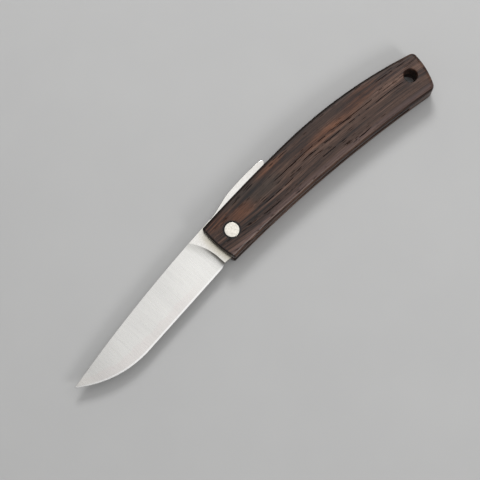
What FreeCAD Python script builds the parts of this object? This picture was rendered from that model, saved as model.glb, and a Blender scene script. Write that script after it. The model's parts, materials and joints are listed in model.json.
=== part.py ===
"""A lever-type friction folder, open: ground steel blade, wooden scales, riveted pivot."""
import FreeCAD, Part
import math
import os

Vector = FreeCAD.Vector
UP = Vector(0, 0, 1)

# All lengths in millimetres. Plan sizes are measured from the pivot axis, with the blade open:
# the tip lies towards -X, the butt towards +X, the back towards +Y and the belly towards -Y.

# Thickness stack
BLADE_THICKNESS = 2.3
WASHER_THICKNESS = 0.2
WASHER_PLAY = 0.03
SCALE_THICKNESS = 3.9

# Blade outline
TIP_REACH = 86.1
TIP_DROP = 5.8
SPINE_HEIGHT = 9.56
SPINE_END = 3.0
SPINE_BULGE = 1.2
BELLY_START = 55.0
BELLY_DEPTH = 13.78
HEEL_REACH = 13.2
HEEL_DEPTH = 8.46
KICK_REACH = 10.6
TANG_RADIUS = 7.4

# Grind: half thickness behind the edge and at it, slope of the sharpened bevel in degrees, the plunge, which
# stands square to the edge and then sweeps towards the tip, with the hollow that the wheel leaves in its
# corner, and the share of the belly's sweep that the wheel runs past the tip
SHOULDER_HALF = 0.12
EDGE_HALF = 0.03
EDGE_BEVEL_ANGLE = 11.3
PLUNGE_SETBACK = 0.35
PLUNGE_STRAIGHT = 4.0
PLUNGE_SWEEP = 21.0
PLUNGE_RADIUS = 1.6
TIP_OVERRUN = 0.25

# Thumb lever, riding on the handle's back
LEVER_START = 9.3
LEVER_REACH = 28.6
LEVER_WIDTH = 2.6
LEVER_END_FLAT = 0.2
LEVER_BOW = 0.35
LEVER_GAP = 0.2
LEVER_EASE = 0.3
RAMP_HANDLE = 2.2
NOTCH_RADIUS = 0.8

# Handle outline
FRONT_REACH = 8.3
FRONT_BACK = 8.23
FRONT_BELLY = 8.95
FRONT_RAKE = 2.0
FRONT_BULGE = 0.88
CROWN_REACH = 39.9
CROWN_RISE = 4.46
BACK_BULGE = 0.4
BUTT_BACK = 6.68
BUTT_BELLY = 10.4
BUTT_RAKE = 3.9
BUTT_BULGE = 1.25
BELLY_HOLLOW = 2.4
EDGE_ROUND = 1.8
FRONT_EASE = 0.5
BUTT_BACK_EXTRA = 0.3
BUTT_BELLY_EXTRA = 1.3

# Slot, stops and butt, with angles in degrees about the pivot
CLOSED_ANGLE = 174.0
MOUTH_ANGLE = 30.0
FLOOR_GAP = 0.75
TIP_GAP = 1.6
STOP_GAP = 0.15
KICK_SETBACK = 0.4
SPACER_SETBACK = 1.4
TANG_GAP = 0.35
SLOT_TO_HOLE = 5.05
HOLE_DIAMETER = 5.7
HOLE_EASE = 0.35
HOLE_TO_BUTT = 7.8

# Pivot rivet and washers
BARREL_DIAMETER = 4.0
RUNNING_FIT = 0.04
WOOD_FIT = 0.05
HEAD_DIAMETER = 6.0
HEAD_THICKNESS = 1.0
HEAD_CHAMFER = 0.15
HEAD_GAP = 0.2
HEAD_RECESS = 0.1
POST_DIAMETER = 2.5
POST_FIT = 0.01
POST_END_GAP = 0.4
BORE_STOP = 1.36
BARREL_END_GAP = 0.1
WASHER_DIAMETER = 11.2

# Blind dowels through the spacer
DOWEL_STATIONS = {"front_dowel": 24.0, "middle_dowel": 50.0, "rear_dowel": 76.0}
DOWEL_DIAMETER = 1.6
DOWEL_FIT = 0.02
DOWEL_DEPTH = 1.8
DOWEL_END_GAP = 0.1
DOWEL_INSET = 2.0

# Worked out from the sizes above
SLOT_WIDTH = BLADE_THICKNESS + 2 * (WASHER_THICKNESS + WASHER_PLAY)
HANDLE_THICKNESS = SLOT_WIDTH + 2 * SCALE_THICKNESS
MID_PLANE = HANDLE_THICKNESS / 2
SLOT_BOTTOM = SCALE_THICKNESS
SLOT_TOP = SCALE_THICKNESS + SLOT_WIDTH
SEAT_DEPTH = HEAD_THICKNESS + HEAD_RECESS
SLOT_END = math.hypot(TIP_REACH, TIP_DROP) + TIP_GAP
HOLE_REACH = SLOT_END + SLOT_TO_HOLE + HOLE_DIAMETER / 2
BUTT_REACH = HOLE_REACH + HOLE_TO_BUTT
SPACER_FRONT = TANG_RADIUS + SPACER_SETBACK
BORE_TOP = HANDLE_THICKNESS - SEAT_DEPTH - BORE_STOP
GRIND_ROOM = SPINE_HEIGHT + BELLY_DEPTH + PLUNGE_SWEEP
FAR = 2 * BUTT_REACH

# How close two places are to count as the same
NEAR = 0.005


def plan(x, y):
    """A point in the plane of the outline."""
    return Vector(x, y, 0)


def turned(vector, degrees):
    """The vector turned about the pivot axis."""
    return FreeCAD.Rotation(UP, degrees).multVec(vector)


def left_of(direction):
    """The unit vector square to a direction, on its left."""
    return turned(direction, 90).normalize()


def bulged_arc(start, end, bulge):
    """An arc whose middle stands off its chord by the bulge, to the right of the way it runs."""
    middle = (start + end) / 2 - left_of(end - start) * bulge
    return Part.ArcOfCircle(start, middle, end)


def tangent_arc(start, direction, end):
    """An arc that leaves the start along the direction and ends at the end point."""
    chord = end - start
    turn = math.atan2(direction.cross(chord).z, direction.dot(chord))
    half = turned(Vector(direction).normalize(), math.degrees(turn / 2))
    return Part.ArcOfCircle(start, start + half * (chord.Length / (2 * math.cos(turn / 2))), end)


def end_direction(arc):
    """The unit direction of an arc where it ends."""
    return arc.tangent(arc.LastParameter)[0]


def wire_of(curves):
    """One closed wire of curves given in order."""
    return Part.Wire([curve.toShape() for curve in curves])


def slab(wire, bottom, thickness):
    """A flat solid of the wire's outline."""
    face = Part.Face(wire)
    face.translate(UP * bottom)
    return face.extrude(UP * thickness)


def upright_edges(solid, corner):
    """The edges of a solid that stand upright on one point of its plan."""
    found = []
    for edge in solid.Edges:
        box = edge.BoundBox
        off = math.hypot(box.Center.x - corner.x, box.Center.y - corner.y)
        if box.ZLength > NEAR and off < NEAR:
            found.append(edge)
    return found


def level_edges(solid, height):
    """The edges of a solid that lie in one level plane."""
    return [
        edge
        for edge in solid.Edges
        if edge.BoundBox.ZLength < NEAR and abs(edge.BoundBox.ZMin - height) < NEAR
    ]


def rim_edges(solid, height, centre):
    """The round edges of a solid in one level plane about one centre."""
    return [
        edge
        for edge in level_edges(solid, height)
        if math.hypot(edge.BoundBox.Center.x - centre.x, edge.BoundBox.Center.y - centre.y) < NEAR
    ]


# Handle outline: front corner, crown, butt corners and the arcs between them

FRONT_TOP = plan(-FRONT_REACH, FRONT_BACK)
CROWN = plan(CROWN_REACH, FRONT_BACK + CROWN_RISE)
BUTT_TOP = plan(BUTT_REACH, BUTT_BACK)
BUTT_LOW = plan(BUTT_REACH - BUTT_RAKE, -BUTT_BELLY)
FRONT_LOW = plan(-FRONT_REACH + FRONT_RAKE, -FRONT_BELLY)
BACK_ARC = bulged_arc(CROWN, FRONT_TOP, BACK_BULGE)
REAR_ARC = tangent_arc(CROWN, BACK_ARC.tangent(BACK_ARC.FirstParameter)[0] * -1, BUTT_TOP)


def back_point(reach, above=0):
    """The point this far above the handle's back, on the radius of the back at this reach."""
    arc = BACK_ARC if reach <= CROWN_REACH else REAR_ARC
    height = arc.Center.y + math.sqrt(arc.Radius**2 - (reach - arc.Center.x) ** 2)
    outward = (plan(reach, height) - arc.Center).normalize()
    return arc.Center + outward * (arc.Radius + above)


def corner_arc(before, after, radius, inside):
    """The arc that rounds the corner where one arc of the handle's outline ends and the next one starts."""
    circles = []
    for arc in (before, after):
        hollow = (inside - arc.Center).Length > arc.Radius
        circles.append(Part.Circle(arc.Center, UP, arc.Radius + (radius if hollow else -radius)))
    corner = before.EndPoint
    meets = [plan(point.X, point.Y) for point in circles[0].intersect(circles[1])]
    centre = min(meets, key=lambda point: (point - corner).Length)
    start = before.Center + (centre - before.Center).normalize() * before.Radius
    end = after.Center + (centre - after.Center).normalize() * after.Radius
    return Part.ArcOfCircle(start, centre + (corner - centre).normalize() * radius, end)


def trimmed(arc, start, end):
    """The stretch of an arc between two points on it."""
    middle = (arc.parameter(start) + arc.parameter(end)) / 2
    return Part.ArcOfCircle(start, arc.value(middle), end)


def handle_slab(bottom, thickness):
    """A slab of the handle's outline with the corners of its butt rounded in plan."""
    belly = bulged_arc(FRONT_LOW, BUTT_LOW, -BELLY_HOLLOW)
    butt = bulged_arc(BUTT_LOW, BUTT_TOP, BUTT_BULGE)
    inside = plan(HOLE_REACH, 0)
    low_corner = corner_arc(belly, butt, EDGE_ROUND + BUTT_BELLY_EXTRA, inside)
    top_corner = corner_arc(butt, REAR_ARC, EDGE_ROUND + BUTT_BACK_EXTRA, inside)
    outline = [
        bulged_arc(FRONT_TOP, FRONT_LOW, FRONT_BULGE).toBSpline(),
        trimmed(belly, FRONT_LOW, low_corner.StartPoint),
        low_corner,
        trimmed(butt, low_corner.EndPoint, top_corner.StartPoint),
        top_corner,
        trimmed(REAR_ARC, top_corner.EndPoint, CROWN),
        BACK_ARC,
    ]
    return slab(wire_of(outline), bottom, thickness)


def drill(diameter, bottom, depth, centre=Vector()):
    """An upright cylinder, to be cut as a hole or used as a pin."""
    return Part.makeCylinder(diameter / 2, depth, centre + UP * bottom)


def lanyard_drill():
    """The hole through the butt, the whole thickness of the handle."""
    return drill(HOLE_DIAMETER, -HOLE_EASE, HANDLE_THICKNESS + 2 * HOLE_EASE, plan(HOLE_REACH, 0))


def dowel_centre(reach):
    """Where a dowel stands in the strip along the back."""
    return back_point(reach, -DOWEL_INSET)


# Blade outline, edge first

TIP = plan(-TIP_REACH, -TIP_DROP)
SPINE = plan(-SPINE_END, SPINE_HEIGHT)
BELLY = plan(-BELLY_START, -BELLY_DEPTH)
HEEL = plan(-HEEL_REACH, -HEEL_DEPTH)
KICK = plan(-KICK_REACH, -TANG_RADIUS)
ALONG = (BELLY - HEEL).normalize()
ACROSS = left_of(HEEL - BELLY)
PLUNGE = HEEL + ALONG * ((KICK - HEEL).dot(ALONG) - PLUNGE_SETBACK)
BELLY_ARC = tangent_arc(BELLY, ALONG, TIP)

# Lever corners: behind the tang, under and over its end, and where its top starts down to the spine

LEVER_NOTCH = back_point(SPACER_FRONT - TANG_GAP, LEVER_GAP)
LEVER_UNDER = back_point(LEVER_REACH, LEVER_GAP)
LEVER_OVER = back_point(LEVER_REACH, LEVER_GAP + LEVER_WIDTH)
LEVER_TOP = back_point(LEVER_START, LEVER_GAP + LEVER_WIDTH)


def lever_curves():
    """The curves of the thumb lever, from the notch behind the tang round to the blade's tip."""
    under_middle = back_point((LEVER_NOTCH.x + LEVER_UNDER.x) / 2, LEVER_GAP)
    top_arc = bulged_arc(LEVER_OVER, LEVER_TOP, LEVER_BOW)
    spine_arc = bulged_arc(SPINE, TIP, SPINE_BULGE)
    leave = LEVER_TOP + end_direction(top_arc) * RAMP_HANDLE
    land = SPINE - spine_arc.tangent(spine_arc.FirstParameter)[0] * RAMP_HANDLE
    ramp = Part.BezierCurve()
    ramp.setPoles([LEVER_TOP, leave, land, SPINE])
    return [
        Part.ArcOfCircle(LEVER_NOTCH, under_middle, LEVER_UNDER),
        Part.LineSegment(LEVER_UNDER, LEVER_OVER),
        top_arc,
        ramp,
        spine_arc,
    ]


def blade_blank():
    """The flat blank of blade, tang and lever, centred on the middle plane, with the lever's edges eased."""
    tang_low = plan(0, -TANG_RADIUS)
    tang_rear = plan(TANG_RADIUS, 0)
    curves = [
        BELLY_ARC,
        Part.LineSegment(BELLY, HEEL),
        tangent_arc(HEEL, HEEL - BELLY, KICK),
        Part.LineSegment(KICK, tang_low),
        tangent_arc(tang_low, tang_low - KICK, tang_rear),
        Part.LineSegment(tang_rear, LEVER_NOTCH),
    ]
    solid = slab(wire_of(curves + lever_curves()), -BLADE_THICKNESS / 2, BLADE_THICKNESS)
    end_radius = (LEVER_WIDTH - LEVER_END_FLAT) / 2
    corners = [(LEVER_NOTCH, NOTCH_RADIUS), (LEVER_UNDER, end_radius), (LEVER_OVER, end_radius)]
    for corner, radius in corners:
        solid = solid.makeFillet(radius, upright_edges(solid, corner))
    rims = level_edges(solid, -BLADE_THICKNESS / 2) + level_edges(solid, BLADE_THICKNESS / 2)
    return solid.makeChamfer(LEVER_EASE, [edge for edge in rims if edge.BoundBox.YMin > TANG_RADIUS])


def bevel_cutter(edge, half, slope):
    """What a grind takes off: from the half thickness at the edge it rises across the blade."""
    rise = (ACROSS + UP * slope) * GRIND_ROOM
    face = edge.translated(UP * half - rise).extrude(rise * 2)
    return face.extrude(UP * GRIND_ROOM)


def flat_cutter(slope):
    """What the primary grind takes off along the straight edge, up to its swept and hollowed plunge."""
    low = PLUNGE - ACROSS * PLUNGE_STRAIGHT
    bend = PLUNGE + ACROSS * PLUNGE_STRAIGHT
    top = bend + (ALONG + ACROSS) * PLUNGE_SWEEP
    wall = [Part.LineSegment(low, bend), tangent_arc(bend, ACROSS, top)]
    far_top = top + ALONG * FAR
    far_low = low + ALONG * FAR
    open_sides = Part.makePolygon([top, far_top, far_low, low]).Edges
    outline = Part.Wire([curve.toShape() for curve in wall] + open_sides)
    room = slab(outline, -GRIND_ROOM, 2 * GRIND_ROOM)
    straight = Part.LineSegment(PLUNGE - ALONG * PLUNGE_RADIUS, BELLY).toShape()
    solid = bevel_cutter(straight, SHOULDER_HALF, slope).common(room)
    hollow = []
    for edge in solid.Edges:
        middle = edge.valueAt((edge.FirstParameter + edge.LastParameter) / 2)
        ground = SHOULDER_HALF + slope * (middle - PLUNGE).dot(ACROSS)
        off = Part.Vertex(middle.x, middle.y, 0).distToShape(wire_of(wall))[0]
        if abs(middle.z - ground) < NEAR and off < NEAR:
            hollow.append(edge)
    return solid.makeFillet(PLUNGE_RADIUS, hollow)


def grind_cutters():
    """The primary grind and the sharpened edge, along the straight and round the belly, on the upper side."""
    slope = (BLADE_THICKNESS / 2 - SHOULDER_HALF) / (SPINE - HEEL).dot(ACROSS)
    steep = math.tan(math.radians(EDGE_BEVEL_ANGLE))
    sharpened = Part.LineSegment(PLUNGE + ALONG * PLUNGE_RADIUS, BELLY).toShape()
    sweep = BELLY_ARC.LastParameter - BELLY_ARC.FirstParameter
    past_tip = BELLY_ARC.LastParameter + TIP_OVERRUN * sweep
    curve = Part.ArcOfCircle(BELLY_ARC.Circle, BELLY_ARC.FirstParameter, past_tip).toShape()
    return [
        flat_cutter(slope),
        bevel_cutter(curve, SHOULDER_HALF, slope),
        bevel_cutter(sharpened, EDGE_HALF, steep),
        bevel_cutter(curve, EDGE_HALF, steep),
    ]


def blade():
    """The ground blade with its tang, pivot hole and lever."""
    solid = blade_blank()
    for cutter in grind_cutters():
        solid = solid.cut([cutter, cutter.mirror(Vector(), UP)])
    hole = drill(BARREL_DIAMETER + 2 * RUNNING_FIT, -BLADE_THICKNESS, 2 * BLADE_THICKNESS)
    return solid.cut(hole).translated(UP * MID_PLANE)


# Handle pieces


def front_scale():
    """The upper scale: long edges and butt rounded, front eased, rivet seat, lanyard and dowel holes."""
    solid = handle_slab(SLOT_TOP, SCALE_THICKNESS)
    rim = level_edges(solid, HANDLE_THICKNESS)
    solid = solid.makeFillet(EDGE_ROUND, [edge for edge in rim if edge.BoundBox.XMax > FRONT_LOW.x + NEAR])
    solid = solid.makeFillet(FRONT_EASE, upright_edges(solid, FRONT_TOP) + upright_edges(solid, FRONT_LOW))
    seat = drill(HEAD_DIAMETER + 2 * HEAD_GAP, HANDLE_THICKNESS - SEAT_DEPTH, 2 * SEAT_DEPTH)
    shank = drill(BARREL_DIAMETER + 2 * WOOD_FIT, 0, HANDLE_THICKNESS)
    cutters = [seat, shank, lanyard_drill()]
    for reach in DOWEL_STATIONS.values():
        bottom = SLOT_TOP - DOWEL_DEPTH
        cutters.append(drill(DOWEL_DIAMETER + 2 * DOWEL_FIT, bottom, 2 * DOWEL_DEPTH, dowel_centre(reach)))
    solid = solid.cut(cutters)
    return solid.makeChamfer(HOLE_EASE, rim_edges(solid, HANDLE_THICKNESS, plan(HOLE_REACH, 0)))


def rear_scale():
    """The lower scale, the upper one's mirror twin."""
    return front_scale().mirror(UP * MID_PLANE, UP)


def slot_cutter():
    """The room that the closed blade needs: below its stop, past its edge and round its tip."""
    stop = -(TANG_RADIUS + STOP_GAP)
    floor_step = -(KICK_REACH - KICK_SETBACK)
    floor_heel = HEEL - ACROSS * FLOOR_GAP
    floor_start = floor_heel + ALONG * ((floor_step - floor_heel.x) / ALONG.x)
    floor_belly = BELLY - ACROSS * FLOOR_GAP
    centre = BELLY_ARC.Center
    floor_tip = centre + (TIP - centre).normalize() * (BELLY_ARC.Radius + FLOOR_GAP)
    floor_arc = tangent_arc(floor_belly, ALONG, floor_tip)
    leave = end_direction(floor_arc)
    ahead = floor_tip.dot(leave)
    run = math.sqrt(ahead**2 + SLOT_END**2 - floor_tip.dot(floor_tip)) - ahead
    end_low = floor_tip + leave * run
    end_middle = turned(end_low, -MOUTH_ANGLE / 2)
    end_high = turned(end_low, -MOUTH_ANGLE)
    outline = [
        Part.LineSegment(plan(FAR, stop), plan(floor_step, stop)),
        Part.LineSegment(plan(floor_step, stop), floor_start),
        Part.LineSegment(floor_start, floor_belly),
        floor_arc,
        Part.LineSegment(floor_tip, end_low),
        Part.ArcOfCircle(end_low, end_middle, end_high),
        Part.LineSegment(end_high, plan(FAR, end_high.y)),
        Part.LineSegment(plan(FAR, end_high.y), plan(FAR, stop)),
    ]
    solid = slab(wire_of(outline), 0, HANDLE_THICKNESS)
    solid.rotate(Vector(), UP, CLOSED_ANGLE)
    return solid


def back_spacer():
    """The strip along the back and round the butt that keeps the scales apart."""
    solid = handle_slab(SLOT_BOTTOM, SLOT_WIDTH)
    ahead = Part.makeBox(FAR, 2 * FAR, HANDLE_THICKNESS, Vector(SPACER_FRONT - FAR, -FAR, 0))
    cutters = [slot_cutter(), ahead, lanyard_drill()]
    for reach in DOWEL_STATIONS.values():
        cutters.append(drill(DOWEL_DIAMETER + 2 * DOWEL_FIT, 0, HANDLE_THICKNESS, dowel_centre(reach)))
    solid = solid.cut(cutters)
    return solid.makeFillet(NOTCH_RADIUS, upright_edges(solid, back_point(SPACER_FRONT)))


def dowel(reach):
    """One blind pin through the spacer into both scales."""
    length = SLOT_WIDTH + 2 * (DOWEL_DEPTH - DOWEL_END_GAP)
    return drill(DOWEL_DIAMETER, MID_PLANE - length / 2, length, dowel_centre(reach))


# Pivot


def turned_solid(profile):
    """A solid of revolution about the pivot axis, from (radius, height) points."""
    points = [Vector(radius, 0, height) for radius, height in profile]
    face = Part.Face(Part.makePolygon(points + points[:1]))
    return face.revolve(Vector(), UP, 360)


def pivot_barrel():
    """The tubular rivet half, with its head in the front scale."""
    head = HEAD_DIAMETER / 2
    shank = BARREL_DIAMETER / 2
    bore = POST_DIAMETER / 2 + POST_FIT
    top = HANDLE_THICKNESS - HEAD_RECESS
    seat = HANDLE_THICKNESS - SEAT_DEPTH
    low = SEAT_DEPTH + BARREL_END_GAP
    return turned_solid(
        [
            (0, top),
            (head - HEAD_CHAMFER, top),
            (head, top - HEAD_CHAMFER),
            (head, seat),
            (shank, seat),
            (shank, low),
            (bore, low),
            (bore, BORE_TOP),
            (0, BORE_TOP),
        ]
    )


def pivot_post():
    """The solid rivet half, pressed up into the barrel, with its head in the rear scale."""
    head = HEAD_DIAMETER / 2
    pin = POST_DIAMETER / 2
    end = BORE_TOP - POST_END_GAP
    return turned_solid(
        [
            (0, HEAD_RECESS),
            (head - HEAD_CHAMFER, HEAD_RECESS),
            (head, HEAD_RECESS + HEAD_CHAMFER),
            (head, SEAT_DEPTH),
            (pin, SEAT_DEPTH),
            (pin, end),
            (0, end),
        ]
    )


def washer(bottom):
    """A thin friction washer round the barrel."""
    disc = drill(WASHER_DIAMETER, bottom, WASHER_THICKNESS)
    return disc.cut(drill(BARREL_DIAMETER + 2 * WOOD_FIT, 0, HANDLE_THICKNESS))


def pieces():
    """Every piece by its name, about the pivot axis."""
    made = {
        "blade": blade(),
        "front_scale": front_scale(),
        "rear_scale": rear_scale(),
        "back_spacer": back_spacer(),
        "pivot_barrel": pivot_barrel(),
        "pivot_post": pivot_post(),
        "front_washer": washer(SLOT_TOP - WASHER_THICKNESS),
        "rear_washer": washer(SLOT_BOTTOM),
    }
    for name, reach in DOWEL_STATIONS.items():
        made[name] = dowel(reach)
    return made


def main():
    """Builds the knife, puts its origin under the middle of its box and writes one file per piece."""
    os.makedirs("parts", exist_ok=True)
    made = pieces()
    box = Part.makeCompound(list(made.values())).optimalBoundingBox(False, False)
    shift = Vector(-box.Center.x, -box.Center.y, -box.ZMin)
    print("pivot axis at", shift, "lanyard hole at", shift + plan(HOLE_REACH, 0))
    for name, solid in made.items():
        print(name, "valid", solid.isValid(), "solids", len(solid.Solids), "volume", round(solid.Volume, 2))
        solid.translated(shift).exportStep(f"parts/{name}.step")


main()
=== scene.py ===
"""The folding pocket knife's looks: smooth surfaces, procedural finishes and a plain studio."""
import json
import logging
import math
from dataclasses import dataclass, field, replace
from enum import Enum
from typing import Any, Sequence, Union

import bmesh
import bpy
import numpy as np
from mathutils import Matrix, Vector


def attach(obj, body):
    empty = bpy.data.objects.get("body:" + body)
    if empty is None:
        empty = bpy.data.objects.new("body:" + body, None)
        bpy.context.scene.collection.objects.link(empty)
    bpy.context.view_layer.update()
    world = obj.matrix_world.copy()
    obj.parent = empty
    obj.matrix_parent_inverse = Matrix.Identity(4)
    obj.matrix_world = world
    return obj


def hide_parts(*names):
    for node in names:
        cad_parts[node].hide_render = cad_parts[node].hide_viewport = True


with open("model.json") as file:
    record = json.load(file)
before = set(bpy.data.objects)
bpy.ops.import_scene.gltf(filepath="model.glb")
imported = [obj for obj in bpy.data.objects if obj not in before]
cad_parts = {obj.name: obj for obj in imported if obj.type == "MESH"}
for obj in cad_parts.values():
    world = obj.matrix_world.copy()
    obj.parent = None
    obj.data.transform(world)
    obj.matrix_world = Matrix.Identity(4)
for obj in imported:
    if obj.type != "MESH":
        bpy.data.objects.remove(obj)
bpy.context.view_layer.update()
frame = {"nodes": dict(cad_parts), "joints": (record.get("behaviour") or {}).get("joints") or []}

LOG = logging.getLogger("knife")
MM = 0.001
HINGE = next(joint for joint in frame["joints"] if joint["name"] == "blade_pivot")
PIVOT = np.array([HINGE["pos_m"][0], HINGE["pos_m"][1], 0.0])
QUARTER = math.pi / 2
ROUND = 2 * math.pi
TINY = 1e-6
Array = np.ndarray
Point = tuple[float, float]
Triple = tuple[float, float, float]
Colour = tuple[float, float, float]


class Body(Enum):
    """The two bodies that the hinge joins."""

    HANDLE = "handle"
    BLADE = "blade"


class Slot(Enum):
    """The names of the record's material slots; new pieces are handed one, which is not used."""

    BLADE = "blade_steel"
    SCALE = "scale_wood"
    SPACER = "spacer_wood"
    RIVET = "rivet_steel"


class Blend(Enum):
    """How one colour is laid over another."""

    OVER = "MIX"
    TIMES = "MULTIPLY"


# Plane curves


def unit(vectors: Array) -> Array:
    """Vectors brought to a length of 1."""
    return vectors / np.linalg.norm(vectors, axis=-1, keepdims=True)


def circle(angle: Array) -> Array:
    """Points (cos, sin) of the unit circle."""
    return np.stack([np.cos(angle), np.sin(angle)], -1)


def bearing(step: Sequence[float]) -> float:
    """The angle of a step in plan."""
    return math.atan2(step[1], step[0])


@dataclass(frozen=True)
class Arc:
    """A circular arc in plan, in millimetres about the pivot.

    Attributes:
        centre: The circle's centre.
        radius: The circle's radius.
        start: The angle at which the arc starts.
        sweep: The signed angle that it turns through, anticlockwise positive.
    """

    centre: Point
    radius: float
    start: float
    sweep: float

    @classmethod
    def bulged(cls, start: Sequence[float], end: Sequence[float], bulge: float) -> "Arc":
        """An arc whose middle stands off its chord, to the right of the way it runs.

        The radius is (half chord squared + bulge squared) / (2 bulge).

        Args:
            start: Where it starts.
            end: Where it ends.
            bulge: How far its middle stands off; negative to the left.

        Returns:
            The arc.
        """
        first, last = np.array(start), np.array(end)
        chord = last - first
        half = float(np.linalg.norm(chord)) / 2
        right = np.array([chord[1], -chord[0]]) / (2 * half)
        radius = (half**2 + bulge**2) / (2 * abs(bulge))
        centre = (first + last) / 2 + right * (bulge - math.copysign(radius, bulge))
        sweep = math.copysign(2 * math.asin(half / radius), bulge)
        return cls((centre[0], centre[1]), radius, bearing(first - centre), sweep)

    @classmethod
    def leaving(cls, start: Sequence[float], direction: Sequence[float], end: Sequence[float]) -> "Arc":
        """An arc that leaves its start along a direction: its bulge is half the chord times tan(turn / 2).

        Args:
            start: Where it starts.
            direction: The way it leaves.
            end: Where it ends.

        Returns:
            The arc.
        """
        chord = (end[0] - start[0], end[1] - start[1])
        cross = direction[0] * chord[1] - direction[1] * chord[0]
        turn = math.atan2(cross, direction[0] * chord[0] + direction[1] * chord[1])
        return cls.bulged(start, end, math.hypot(*chord) / 2 * math.tan(turn / 2))

    def at(self, share: Array) -> Array:
        """Points at shares of the way along: centre + radius (cos, sin) of start + share * sweep."""
        return np.array(self.centre) + self.radius * circle(self.start + self.sweep * np.asarray(share))

    def tangent(self, share: float) -> Array:
        """The anticlockwise direction at a share of the way along."""
        angle = self.start + share * self.sweep
        return np.array([-math.sin(angle), math.cos(angle)])

    def inset(self, depth: float) -> "Arc":
        """The same arc moved to its left by a depth."""
        return replace(self, radius=self.radius - math.copysign(depth, self.sweep))

    def share_of(self, point: Array) -> float:
        """How far along the arc a point on it lies."""
        angle = bearing(point - np.array(self.centre)) - self.start
        return ((angle + math.pi) % ROUND - math.pi) / self.sweep

    def part(self, low: float, high: float) -> "Arc":
        """The stretch of the arc between two shares."""
        return replace(self, start=self.start + low * self.sweep, sweep=(high - low) * self.sweep)

    def height_at(self, x: Array, upper: bool) -> Array:
        """The circle's y at each x: centre y plus or minus the root of radius squared less run squared."""
        rise = np.sqrt(np.maximum(self.radius**2 - (np.asarray(x) - self.centre[0]) ** 2, 0.0))
        return self.centre[1] + (rise if upper else -rise)


def rounded(before: Arc, after: Arc, radius: float) -> tuple[Arc, Arc, Arc]:
    """Rounds the corner between two arcs, whose circles inset by the radius meet at the rounding's centre.

    Args:
        before: The arc that runs into the corner.
        after: The arc that leaves it.
        radius: The rounding's radius.

    Returns:
        The shortened first arc, the rounding and the shortened second arc.
    """
    one, two = np.array(before.centre), np.array(after.centre)
    reach_one, reach_two = before.inset(radius).radius, after.inset(radius).radius
    apart = float(np.linalg.norm(two - one))
    ahead = (two - one) / apart
    along = (reach_one**2 - reach_two**2 + apart**2) / (2 * apart)
    across = math.sqrt(max(reach_one**2 - along**2, 0.0)) * np.array([-ahead[1], ahead[0]])
    corner = before.at(np.array(1.0))
    meetings = [one + ahead * along + side * across for side in (1, -1)]
    centre = min(meetings, key=lambda place: float(np.linalg.norm(place - corner)))
    first = one + unit(centre - one) * before.radius
    last = two + unit(centre - two) * after.radius
    start = bearing(first - centre)
    middle = Arc((centre[0], centre[1]), radius, start, (bearing(last - centre) - start) % ROUND)
    return before.part(0, before.share_of(first)), middle, after.part(after.share_of(last), 1)


def meeting(before: Arc, after: Arc) -> tuple[Arc, Arc]:
    """Shortens or lengthens two arcs to the point where their circles meet."""
    shortened, _, lengthened = rounded(before, after, TINY)
    return shortened, lengthened


def steps(count: int) -> Array:
    """Equal shares from 0 up to, and without, 1."""
    return np.arange(count) / count


def ease_in_out(low: float, high: float, value: Array) -> Array:
    """The cubic 3t^2 - 2t^3 of how far a value lies from low to high."""
    t = np.clip((np.asarray(value) - low) / (high - low), 0, 1)
    return t * t * (3 - 2 * t)


def lengths(points: Array) -> Array:
    """How far along a polyline each of its points lies."""
    return np.concatenate([[0.0], np.cumsum(np.linalg.norm(np.diff(points, axis=0), axis=1))])


def spaced(points: Array, start: float, stop: float, count: int) -> Array:
    """Points at equal distances along a stretch of a polyline.

    Args:
        points: The polyline's points.
        start: The share of its length at which the stretch starts.
        stop: The share at which it stops.
        count: How many points are wanted.

    Returns:
        The points, (count, 2).
    """
    length = lengths(points)
    wanted = np.linspace(start, stop, count) * length[-1]
    return np.stack([np.interp(wanted, length, axis) for axis in points.T], -1)


def share_at(points: Array, place: Array) -> float:
    """The share of a polyline's length at which its point nearest to a place lies."""
    length = lengths(points)
    return float(length[np.argmin(np.linalg.norm(points - place, axis=1))] / length[-1])


def spanned(lower: Array, upper: Array, left: Array, right: Array, rows: Array) -> Array:
    """A patch between four plane curves: the two ruled surfaces added, less the bilinear one of the corners.

    Args:
        lower: The lower curve, (columns, 2).
        upper: The upper curve, (columns, 2).
        left: The left curve, (rows, 2).
        right: The right curve, (rows, 2).
        rows: Each row's share of the way up.

    Returns:
        Points as (rows, columns, 2).
    """
    u = np.linspace(0, 1, len(lower))[None, :, None]
    v = rows[:, None, None]
    ruled = (1 - v) * lower[None] + v * upper[None] + (1 - u) * left[:, None] + u * right[:, None]
    flat = (1 - u) * (1 - v) * lower[0] + u * (1 - v) * lower[-1] + (1 - u) * v * upper[0] + u * v * upper[-1]
    return ruled - flat


# Meshes


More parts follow.
